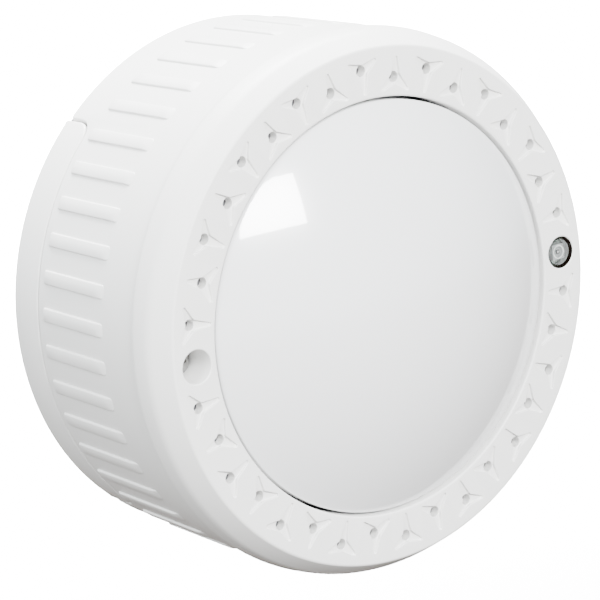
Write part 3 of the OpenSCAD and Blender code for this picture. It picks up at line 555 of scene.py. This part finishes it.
def windowPlace():
    shape = Shape()
    top, bottom = roundLoops(shape, windowR, window, underZ)
    flatPlace(shape, bandIn, bandOut, faceZ, [top])
    flatPlace(shape, underIn - window["underReach"], underOut, underZ, [bottom])
    return shape.mesh("window place")


def turnedMesh(mesh, clock):
    mesh.transform(Matrix.Rotation(math.radians(clock), 4, "Y"))
    return mesh


# The ring is made of 36 places: two shapes of recess in turn, the screw's well and the status window
def makeRing(finish):
    step = 360 / ring["places"]
    forks = copiesTurned("forked recesses", recessPlace(recess["fork"], faceR - recess["forkInset"]), finish,
                         ring["places"] // 2, 2 * step)
    spears = copiesTurned("spear recesses", recessPlace(recess["spear"], faceR - recess["spearInset"]), finish,
                          ring["places"] // 2, 2 * step, step, recess["spearLeftOut"])
    shape = Shape()
    count = ring["places"] * ring["facets"]
    shape.lathe(outerSection, count, closed=False, turn=step / 2)
    shape.lathe(innerSection, count, closed=False, turn=step / 2)
    body = joined("front ring", [forks, spears, shape.mesh("walls"), turnedMesh(wellPlace(), screwClock),
                                 turnedMesh(windowPlace(), statusClock)])
    return place("frontRing", body, finish, "head", ["front_ring"])


dome = {
    "gap": 0.7,
    "rimDepth": 0.8,
    "angle": 33.0,              # of its surface at the rim
    "wall": 2.0,
    "rimFillet": 0.5,
    "filletSteps": 5,
    "flangeWidth": 2.6,
    "flangeZ": (49.0, 50.6),
    "flangeLap": 0.3,           # how far the flange reaches into the skirt
    "flangeSteps": 160,
    "notchHalfAngle": 7.0,
    "steps": 256,
    "rows": 48,
    "innerRows": 12,
}


def makeDome(finish):
    rimR = openR - dome["gap"]
    rimZ = faceZ - dome["rimDepth"]
    angle = math.radians(dome["angle"])
    sphereR = rimR / math.sin(angle)
    centreZ = rimZ - sphereR * math.cos(angle)
    low, high = dome["flangeZ"]
    inR = sphereR - dome["wall"]
    skirtR = rimR - dome["wall"]
    inAngle = math.asin(skirtR / inR)
    outAngle = angle * (1 - dome["rimFillet"] / rimR)

    def cap(r, most, share):
        return Vector((r * math.sin(most * share), centreZ + r * math.cos(most * share)))

    section = [cap(sphereR, outAngle, i / dome["rows"]) for i in range(dome["rows"] + 1)]
    section += roundCorner(section[-1], Vector((rimR, rimZ)), Vector((rimR, low)), dome["rimFillet"],
                           dome["filletSteps"])[1:]
    section += [Vector((rimR, low)), Vector((skirtR, low))]
    section += [cap(inR, inAngle, 1 - i / dome["innerRows"]) for i in range(dome["innerRows"] + 1)]
    shape = Shape()
    shape.lathe(section, dome["steps"], closed=False)
    lap, outer = rimR - dome["flangeLap"], rimR + dome["flangeWidth"]
    shape.lathe([Vector((lap, low)), Vector((outer, low)), Vector((outer, high)), Vector((lap, high))],
                dome["flangeSteps"], turn=screwClock + dome["notchHalfAngle"],
                span=360 - 2 * dome["notchHalfAngle"])
    return place("strobeDome", shape.mesh("strobe dome", 40), finish, "head", ["strobe_dome"])


housing = {
    "step": 0.6,                # from the ring's edge down to the housing
    "draft": 1.1,
    "wall": 2.2,
    "rearZ": 0.8,
    "rearFillet": 1.5,
    "edgeFillet": 0.45,
    "footR": 1.6,               # where its rear edge turns up beside the base's rim
    "footClear": 0.3,
    "footStraight": 0.8,
    "cornerClear": 0.2,
    "grooveWidth": 0.6,
    "grooveDepth": 0.6,
    "skinMargin": 0.02,
    "columns": 288,
}
rim = {
    "z": 10.0,
    "halfAngle": 48.5,
    "corner": 4.0,
    "cornerSteps": 10,
    "footR": 0.6,
    "gap": 0.3,
    "wall": 1.8,
    "rearFillet": 1.5,
    "edgeFillet": 0.45,
    "blendHeight": 1.2,         # over which one fillet turns into the other
    "skinMargin": 0.35,
    "points": 420,
}
rib = {
    "count": 45,
    "width": 3.0,
    "height": 0.45,
    "rear": 12.6,
    "length": 22.9,
    "start": ((0, -0.1), (0.03, 0.2), (0.1, 0.48), (0.24, 0.84)),      # how its rear end rises
    "startLength": 0.42,
    "startInset": 0.1,
    "startWiden": 0.24,
    "middleRows": 6,
    "runOut": 2.6,
    "runOutRows": 10,
    "runOutPower": 1.6,
    "bow": 1.8,
    "sink": 0.05,
    "foot": 0.1,
    "edge": 0.24,
}
frontR = ringR - housing["step"]
rearR = frontR - housing["draft"]
aboutR = (frontR + rearR) / 2


# The housing's radius at a height off the wall
def bodyR(z):
    return rearR + (frontR - rearR) * (z - rim["z"]) / (seamZ - rim["z"])


# Turns a point of the unrolled skin, measured from the screw's side, into place
def rolled(u, z, depth):
    return onClock(bodyR(z) - depth, screwClock + math.degrees(u / aboutR), z)


# A curved plate from its outline's lower edge: rounded over outside, straight down inside
def rollEdge(shape, outline, fillets, wall, closed):
    def out(i):
        before = outline[i - 1] if closed or i > 0 else outline[0]
        after = outline[(i + 1) % len(outline)] if closed or i < len(outline) - 1 else outline[-1]
        along = (after - before).normalized()
        return Vector((along.y, -along.x))

    outward = [out(i) for i in range(len(outline))]
    flats = []
    rows = []
    for turn in range(0, 91, 18):
        a = math.radians(turn)
        flats.append([p - n * f * (1 - math.sin(a)) for p, n, f in zip(outline, outward, fillets)])
        rows.append(shape.add([rolled(p.x, p.y, f * (1 - math.cos(a))) for p, f in zip(flats[-1], fillets)]))
    rows.append(shape.add([rolled(p.x, p.y, wall) for p in outline]))
    for a, b in zip(rows, rows[1:]):
        shape.bridge(a, b, closed)
    return (rows[0], flats[0], 0), (rows[-1], outline, wall)


# Fills a skin between its edge and its columns
def fillSkin(shape, ids, spots, depth, columns=()):
    spots = [Vector(p) for p in spots]
    loop = list(spots)
    edges = [(i, (i + 1) % len(loop)) for i in range(len(loop))] + list(columns)
    out = delaunay_2d_cdt(spots, edges, [], 0, tiny)
    known = [ids[origin[0]] if origin else shape.add([rolled(p.x, p.y, depth)])[0]
             for p, origin in zip(out[0], out[3])]
    for face in out[2]:
        middle = sum((out[0][i] for i in face), Vector((0, 0))) / len(face)
        if inside(middle, loop):
            shape.faces.append(tuple(known[i] for i in face))


# The housing's lower edge, unrolled: along the wall, up beside the base's rim, over it and down again
def skirtOutline():
    half = aboutR * math.pi
    notch = bodyR(rim["z"]) * math.sin(math.radians(rim["halfAngle"])) + rim["gap"]
    notchU = aboutR * math.asin(notch / bodyR(rim["z"]))
    top = rim["z"] + rim["gap"]
    low = housing["rearZ"]
    rear, edge, footR = housing["rearFillet"], housing["edgeFillet"], housing["footR"]
    cornerR = rim["corner"] + rim["gap"]
    step = 2 * half / housing["columns"]
    outline = []
    fillets = []

    def add(u, z, f):
        outline.append(Vector((u, z)))
        fillets.append(f)

    def level(start, end, z, f):
        k = math.ceil(start / step - tiny)
        while k * step <= end + tiny:
            add(k * step, z, f)
            k += 1

    def foot(*corner):
        for p in roundCorner(*map(Vector, corner), footR, 6):
            add(p.x, p.y, rear + (edge - rear) * min(1, (p.y - low) / footR))

    def shoulder(*corner):
        for p in roundCorner(*map(Vector, corner), cornerR, 12):
            add(p.x, p.y, edge)

    footU = notchU + footR + housing["footClear"]
    flatU = notchU - cornerR - housing["cornerClear"]
    footZ = low + footR + housing["footStraight"]
    level(-half, -footU, low, rear)
    foot((-half, low), (-notchU, low), (-notchU, top))
    add(-notchU, footZ, edge)
    shoulder((-notchU, low), (-notchU, top), (0, top))
    level(-flatU, flatU, top, edge)
    shoulder((0, top), (notchU, top), (notchU, low))
    add(notchU, footZ, edge)
    foot((notchU, top), (notchU, low), (half, low))
    level(footU, half, low, rear)
    return outline, fillets, half, step


def skirtShape():
    outline, fillets, half, step = skirtOutline()
    shape = Shape()
    count = housing["columns"]
    frontZ = seamZ - housing["grooveWidth"]
    top = [Vector((-half + i * step, frontZ)) for i in range(count, -1, -1)]
    for ids, spots, depth in rollEdge(shape, outline, fillets, housing["wall"], False):
        topRow = shape.add([rolled(p.x, p.y, depth) for p in top])
        columns = []
        for k, p in enumerate(outline):
            at = (half - p.x) / step
            if abs(at - round(at)) < 1e-4 and 0 < round(at) < count:
                columns.append((k, len(ids) + round(at)))
        fillSkin(shape, ids + topRow, spots + top, depth, columns)
    grooveR = frontR - housing["grooveDepth"]
    shape.lathe([Vector((bodyR(frontZ), frontZ)), Vector((grooveR, frontZ)), Vector((grooveR, seamZ)),
                 Vector((frontR - housing["wall"], seamZ)), Vector((bodyR(frontZ) - housing["wall"], frontZ))],
                count, closed=False, turn=screwClock - 180)
    return shape


def rimShape():
    halfU = aboutR * math.radians(rim["halfAngle"])
    outline = rounded([(halfU, 0, rim["footR"]), (halfU, rim["z"], rim["corner"]),
                       (-halfU, rim["z"], rim["corner"]), (-halfU, 0, rim["footR"])], rim["cornerSteps"])
    points = resample(outline, rim["points"])
    rear, edge = rim["rearFillet"], rim["edgeFillet"]
    fillets = [rear if p.y < 1e-3 else edge + (rear - edge) * max(0, 1 - p.y / rim["blendHeight"])
               for p in points]
    shape = Shape()
    for ids, spots, depth in rollEdge(shape, points, fillets, rim["wall"], True):
        fillSkin(shape, ids, spots, depth)
    return shape


# One rib: a steep rear end, a straight middle, and a rounded front end that runs out into the housing
def ribShape():
    shape = Shape()
    height, half = rib["height"], rib["width"] / 2
    front = rib["rear"] + rib["length"]
    straight = rib["length"] - rib["runOut"] - rib["startLength"]
    stations = [(rib["rear"] + a, h * height, half - rib["startInset"] + a * rib["startWiden"])
                for a, h in rib["start"]]
    stations += [(rib["rear"] + rib["startLength"] + i * straight / rib["middleRows"], height, half)
                 for i in range(rib["middleRows"] + 1)]
    for i in range(1, rib["runOutRows"] + 1):
        t = i / rib["runOutRows"]
        at = front - rib["runOut"] * (1 - t)
        past = max(0, at - (front - rib["bow"]))
        wide = min(half, math.sqrt(max(0.02, rib["bow"] ** 2 - past ** 2)))
        stations.append((at, height * (1 - t ** rib["runOutPower"]) - rib["sink"] * t, wide))
    rows = []
    for at, high, wide in stations:
        k = high / height
        side = [(wide + rib["foot"], -0.04), (wide + 0.04, 0.03 * k), (wide, 0.11 * k),
                (wide - 0.03, (height - 0.2) * k), (wide - 0.09, (height - 0.07) * k), (wide - rib["edge"], high)]
        across = [(-x, h) for x, h in side] + [(0, high)] + side[::-1]
        r = bodyR(at)
        rows.append(shape.add([onClock(r + h, math.degrees(x / r), at) for x, h in across]))
    for a, b in zip(rows, rows[1:]):
        shape.bridge(a, b, False)
    return shape


# What is left of a CAD piece once the faces that lie wholly in its outer skin are taken off
def withoutSkin(node, inSkin):
    bm = bmesh.new()
    bm.from_mesh(nodes[node].data)
    bm.transform(nodes[node].matrix_world)
    gone = [f for f in bm.faces
            if all(inSkin(math.hypot(v.co.x, v.co.z) / mm, -v.co.y / mm) for v in f.verts)]
    bmesh.ops.delete(bm, geom=gone, context="FACES")
    mesh = bpy.data.meshes.new(node + " core")
    bm.to_mesh(mesh)
    bm.free()
    return mesh


def makeHousing(finish):
    ribs = copiesTurned("ribs", ribShape().mesh("rib", 50), finish, rib["count"], 360 / rib["count"],
                        180 / rib["count"])
    core = withoutSkin("main_housing", lambda r, z: r > bodyR(z) - housing["wall"] - housing["skinMargin"])
    body = joined("housing", [skirtShape().mesh("skirt"), core], 40)
    place("housingShell", body, finish, "head", ["main_housing"])
    place("housingRibs", ribs, finish, "head")


def makeBase(finish):
    core = withoutSkin("mounting_base", lambda r, z: r > bodyR(z) - rim["wall"] - rim["skinMargin"])
    body = joined("base", [rimShape().mesh("rim"), core], 40)
    place("wallBase", body, finish, "base", ["mounting_base"])


die = {
    "cupR": 1.55,
    "cupInnerR": 1.32,
    "cupHeight": 0.1,           # above the LED's package
    "cupDepth": 0.3,
    "side": 0.9,
    "lowDrop": 0.35,            # from the package's top down to the die's underside
    "drop": 0.1,
    "bondR": 0.2,
    "bondSunk": 0.12,
    "bondProud": 0.02,
    "around": 40,
    "bondAround": 24,
}


# The bright cup, the dark square die and its bond, on top of the status light's package
def makeDie():
    top = -corners("status_led")[0].y
    x, y, _ = onClock(windowR, statusClock, 0)

    def disc(shape, r, low, high, count, turn=0.0):
        lower = shape.add(circleAt(x, y, r, low, count, turn))
        upper = shape.add(circleAt(x, y, r, high, count, turn))
        shape.bridge(lower, upper)
        shape.faces.append(tuple(upper))
        shape.faces.append(tuple(lower))

    cup = Shape()
    edgeZ = top + die["cupHeight"]
    rows = [cup.add(circleAt(x, y, r, z, die["around"]))
            for r, z in ((die["cupR"], top), (die["cupR"], edgeZ), (die["cupInnerR"], edgeZ),
                         (die["cupInnerR"], top - die["cupDepth"]))]
    for a, b in zip(rows, rows[1:] + rows[:1]):
        cup.bridge(a, b)
    place("ledCup", cup.mesh("led cup", 30), dieBright, "head")
    chip = Shape()
    dieZ = top - die["drop"]
    disc(chip, die["side"] * math.sqrt(0.5), top - die["lowDrop"], dieZ, 4, math.pi / 4)
    place("ledDie", chip.mesh("led die", 30), dieDark, "head")
    bond = Shape()
    disc(bond, die["bondR"], top - die["bondSunk"], dieZ + die["bondProud"], die["bondAround"])
    place("ledBond", bond.mesh("led bond", 30), dieBright, "head")


view = {
    "azimuth": -36.7242,        # degrees to the object's left
    "elevation": 15.497,
    "roll": -5.8958,
    "aimBehindFace": 0.7,
    "camera": (-470.81, -601.43, 215.24),   # from the point aimed at, in millimetres
    "lens": 221.48,
    "sensor": 36.0,
    "clipStart": 0.05,          # metres
}


def makeCamera():
    az, el, roll = (math.radians(view[key]) for key in ("azimuth", "elevation", "roll"))
    back = Vector((math.sin(az) * math.cos(el), -math.cos(az) * math.cos(el), math.sin(el)))
    right = (-back).cross(Vector((0, 0, 1))).normalized()
    up = right.cross(-back)
    rolledRight = math.cos(roll) * right + math.sin(roll) * up
    rolledUp = -math.sin(roll) * right + math.cos(roll) * up
    data = bpy.data.cameras.new("camera")
    data.lens = view["lens"]
    data.sensor_width = view["sensor"]
    data.clip_start = view["clipStart"]
    data.dof.use_dof = False
    camera = bpy.data.objects.new("camera", data)
    turn = Matrix((rolledRight, rolledUp, back)).transposed().to_4x4()
    aim = offWall(0, 0, faceZ - view["aimBehindFace"])
    camera.matrix_world = Matrix.Translation(aim + Vector(view["camera"]) * mm) @ turn
    bpy.context.scene.collection.objects.link(camera)
    bpy.context.scene.camera = camera


lights = {                      # metres and watts; a lamp with a spread, in degrees, shines straight down
    "window": {"from": (-0.16, -1.07, 0.55), "size": (0.46, 0.32), "power": 42, "color": (1.0, 1.0, 1.0)},
    "left": {"from": (-1.25, -0.45, 0.85), "size": (0.35, 0.35), "power": 16, "color": (1.0, 0.995, 0.98)},
    "floor": {"from": (0.75, 1.0, 0.9), "size": (1.6, 1.6), "power": 330, "color": (1.0, 1.0, 1.0),
              "spread": 100},
}
sky = {
    "above": (0.90, 0.96, 1.0),
    "below": (0.30, 0.20, 0.135),
    "left": 2.5,                # how bright each side is
    "right": 1.4,
    "sides": (-0.8, 0.6),       # where a sight line's unit vector reaches them
    "nadir": 0.12,
    "horizon": (-0.26, -0.10),  # height of a sight line's unit vector
}


def makeLights():
    for name, light in lights.items():
        data = bpy.data.lights.new(name, "AREA")
        data.shape = "RECTANGLE"
        data.size, data.size_y = light["size"]
        data.energy = light["power"]
        data.color = light["color"]
        lamp = bpy.data.objects.new(name, data)
        lamp.location = light["from"]
        if "spread" in light:
            data.spread = math.radians(light["spread"])
        else:
            lamp.rotation_euler = Vector(light["from"]).to_track_quat("Z", "Y").to_euler()
        bpy.context.scene.collection.objects.link(lamp)


# Bright above the horizon, more so at the left, and a dim warm floor's light below it
def makeSky():
    world = bpy.data.worlds.new("studio")
    world.use_nodes = True
    tree = world.node_tree
    low, high = sky["horizon"]
    where = nodeAt(tree, "ShaderNodeTexCoord", (-1000, 0))
    parts = nodeAt(tree, "ShaderNodeSeparateXYZ", (-800, 0))
    side = nodeAt(tree, "ShaderNodeMapRange", (-600, 200), {
        "From Min": sky["sides"][0], "From Max": sky["sides"][1], "To Min": sky["left"], "To Max": sky["right"]})
    height = nodeAt(tree, "ShaderNodeMapRange", (-600, -100), {"From Min": low, "From Max": high},
                    interpolation_type="SMOOTHSTEP")
    fall = nodeAt(tree, "ShaderNodeMapRange", (-600, -400),
                  {"From Min": -1, "From Max": low, "To Min": sky["nadir"]})
    below = nodeAt(tree, "ShaderNodeVectorMath", (-400, -400), {0: sky["below"]}, operation="SCALE")
    above = nodeAt(tree, "ShaderNodeVectorMath", (-400, 200), {0: sky["above"]}, operation="SCALE")
    both = nodeAt(tree, "ShaderNodeMix", (-200, 0), data_type="RGBA")
    link = tree.links.new
    link(where.outputs["Generated"], parts.inputs["Vector"])
    link(parts.outputs["X"], side.inputs["Value"])
    link(parts.outputs["Z"], height.inputs["Value"])
    link(parts.outputs["Z"], fall.inputs["Value"])
    link(side.outputs["Result"], above.inputs["Scale"])
    link(fall.outputs["Result"], below.inputs["Scale"])
    link(height.outputs["Result"], both.inputs[0])
    link(below.outputs["Vector"], both.inputs[6])
    link(above.outputs["Vector"], both.inputs[7])
    link(both.outputs[2], tree.nodes["Background"].inputs["Color"])
    bpy.context.scene.world = world


ground = {"below": 0.12, "reach": 3.0}     # metres: its depth under the object, and half its side


def makeFloor(material):
    low, reach = cadBox[0][2] - ground["below"], ground["reach"]
    mesh = bpy.data.meshes.new("floor")
    mesh.from_pydata([(-reach, -reach, low), (reach, -reach, low), (reach, reach, low), (-reach, reach, low)],
                     [], [(0, 1, 2, 3)])
    floor = bpy.data.objects.new("floor", mesh)
    mesh.materials.append(material)
    bpy.context.scene.collection.objects.link(floor)
    floor.visible_diffuse = False
    floor.visible_glossy = False


moulding = {
    "fineDetail": 3,
    "broadTimes": 22,           # how much wider the slow changes are than the grain
    "sheenSpread": 0.1,
    "bumpHeight": 0.0002,
    "waveDistortion": 0.4,
}


# A finish with a fine grain, slow changes of shade and a slightly uneven sheen, all in object space
def finishOf(name, color, other, roughness, grain=0.02, size=900.0, stretch=(1, 1, 1), waves=0.0, **sockets):
    material = bpy.data.materials.new(name)
    material.use_nodes = True
    material.diffuse_color = (*color, 1)
    tree = material.node_tree
    spread = moulding["sheenSpread"]
    where = nodeAt(tree, "ShaderNodeTexCoord", (-1100, 0))
    stretched = nodeAt(tree, "ShaderNodeMapping", (-900, 0), {"Scale": stretch})
    fine = nodeAt(tree, "ShaderNodeTexNoise", (-650, -250), {"Scale": size, "Detail": moulding["fineDetail"]})
    broad = nodeAt(tree, "ShaderNodeTexNoise", (-650, 150), {"Scale": size / moulding["broadTimes"]})
    shade = nodeAt(tree, "ShaderNodeMix", (-350, 200), {6: (*color, 1), 7: (*other, 1)}, data_type="RGBA")
    sheen = nodeAt(tree, "ShaderNodeMapRange", (-350, -50),
                   {"To Min": roughness * (1 - spread), "To Max": roughness * (1 + spread)})
    bump = nodeAt(tree, "ShaderNodeBump", (-350, -350),
                  {"Strength": grain, "Distance": moulding["bumpHeight"]})
    link = tree.links.new
    link(where.outputs["Object"], stretched.inputs["Vector"])
    link(stretched.outputs["Vector"], fine.inputs["Vector"])
    link(stretched.outputs["Vector"], broad.inputs["Vector"])
    link(broad.outputs["Fac"], sheen.inputs["Value"])
    pattern, relief = broad, fine
    if waves:                   # lines in the place of both the shade and the grain
        pattern = relief = nodeAt(tree, "ShaderNodeTexWave", (-650, 400),
                                  {"Scale": waves, "Distortion": moulding["waveDistortion"]})
        link(stretched.outputs["Vector"], pattern.inputs["Vector"])
    link(relief.outputs["Fac"], bump.inputs["Height"])
    link(pattern.outputs["Fac"], shade.inputs[0])
    shader = tree.nodes["Principled BSDF"]
    link(shade.outputs[2], shader.inputs["Base Color"])
    link(sheen.outputs["Result"], shader.inputs["Roughness"])
    link(bump.outputs["Normal"], shader.inputs["Normal"])
    for socket, value in sockets.items():
        shader.inputs[socket.replace("_", " ")].default_value = value
    return material


slotFinish = {                  # two shades, roughness, grain and its scale, then any stretch and waves
    "white_abs": finishOf("white ABS", (0.87, 0.865, 0.85), (0.855, 0.85, 0.832), 0.42, 0.03, 1500),
    "milky_lens": finishOf("milky diffuser", (0.87, 0.875, 0.88), (0.85, 0.855, 0.862), 0.2, 0.006, 300,
                           Coat_Weight=1.0, Coat_Roughness=0.04, Coat_IOR=1.6),
    "inner_abs": finishOf("inner ABS", (0.8, 0.8, 0.78), (0.77, 0.77, 0.745), 0.5, 0.04, 1200),
    "black_rubber": finishOf("black rubber", (0.02, 0.02, 0.022), (0.035, 0.035, 0.037), 0.75, 0.1, 1600),
    "dark_mesh": finishOf("dark mesh", (0.03, 0.03, 0.034), (0.16, 0.16, 0.17), 0.8, 0.5, 900, (1, 1, 1), 900),
    "clear_cap": finishOf("clear cap", (0.97, 0.985, 0.985), (0.95, 0.97, 0.97), 0.03, 0.002, 200,
                          Transmission_Weight=1.0, IOR=1.49),
    "board": finishOf("solder mask", (0.02, 0.13, 0.06), (0.04, 0.2, 0.09), 0.35, 0.1, 700, (1, 1, 1), 220),
    "status_board": finishOf("pale solder mask", (0.1, 0.17, 0.13), (0.3, 0.36, 0.32), 0.35, 0.1, 900, (1, 1, 1),
                             500),
    "led_package": finishOf("LED package", (0.82, 0.81, 0.74), (0.74, 0.72, 0.6), 0.3, 0.03, 1500),
    "lead_wire": finishOf("lead insulation", (0.45, 0.04, 0.03), (0.36, 0.03, 0.03), 0.45, 0.05, 900),
    "cell_wrap": finishOf("cell wrap", (0.03, 0.035, 0.045), (0.06, 0.065, 0.08), 0.25, 0.02, 500,
                          Coat_Weight=0.5),
    "spring_steel": finishOf("plated steel", (0.75, 0.75, 0.76), (0.62, 0.62, 0.64), 0.22, 0.05, 1500,
                             Metallic=1.0),
    "screw_steel": finishOf("zinc plate", (0.42, 0.42, 0.41), (0.3, 0.3, 0.295), 0.3, 0.08, 1200, Metallic=1.0),
    "brass": finishOf("brass", (0.75, 0.56, 0.26), (0.62, 0.44, 0.18), 0.28, 0.06, 1200, Metallic=1.0),
    "siren_abs": finishOf("siren cup", (0.74, 0.72, 0.64), (0.68, 0.66, 0.58), 0.5, 0.05, 1100),
    "capacitor_sleeve": finishOf("capacitor sleeve", (0.02, 0.035, 0.08), (0.04, 0.055, 0.11), 0.25, 0.02, 600),
    "copper_coil": finishOf("enamelled wire", (0.5, 0.2, 0.08), (0.25, 0.08, 0.03), 0.3, 0.6, 600,
                            (0.02, 1, 0.02), 1700, Metallic=0.7),
    "shield_can": finishOf("tinned can", (0.7, 0.7, 0.69), (0.6, 0.6, 0.6), 0.32, 0.06, 1100, Metallic=1.0),
    "switch_body": finishOf("switch body", (0.03, 0.03, 0.03), (0.05, 0.05, 0.052), 0.5, 0.06, 1400),
    "plunger_abs": finishOf("plunger", (0.68, 0.68, 0.66), (0.62, 0.62, 0.6), 0.45, 0.05, 1200),
}
white = slotFinish["white_abs"]
diePackage = finishOf("status LED package", (0.34, 0.35, 0.34), (0.24, 0.25, 0.245), 0.3, 0.04, 1500)
dieDark = finishOf("status LED die", (0.012, 0.012, 0.014), (0.03, 0.03, 0.034), 0.25, 0.04, 2500)
dieBright = finishOf("status LED bond", (0.9, 0.9, 0.86), (0.8, 0.8, 0.74), 0.2, 0.03, 2500)
floorFinish = finishOf("floor", (0.93, 0.93, 0.925), (0.9, 0.9, 0.895), 0.85, 0.02, 60)


# Gives each part of the frame its slot's finish, and the status light's package its own
def finishParts():
    for part in frame["record"]["subparts"]:
        node = nodes[part["node"]]
        slot = part["material_slot"]
        node.data.materials.clear()
        node.data.materials.append(diePackage if part["node"] == "status_led" else slotFinish[slot])


makeCamera()
makeLights()
makeSky()
makeFloor(floorFinish)
finishParts()
print("stage 2: camera, light and finishes")
makeRing(white)
print("stage 3: front ring")
makeDome(slotFinish["milky_lens"])
print("stage 4: dome")
makeHousing(white)
print("stage 5: housing and ribs")
makeBase(white)
print("stage 6: wall base")
makeDie()
print("stage 7: status light's die")
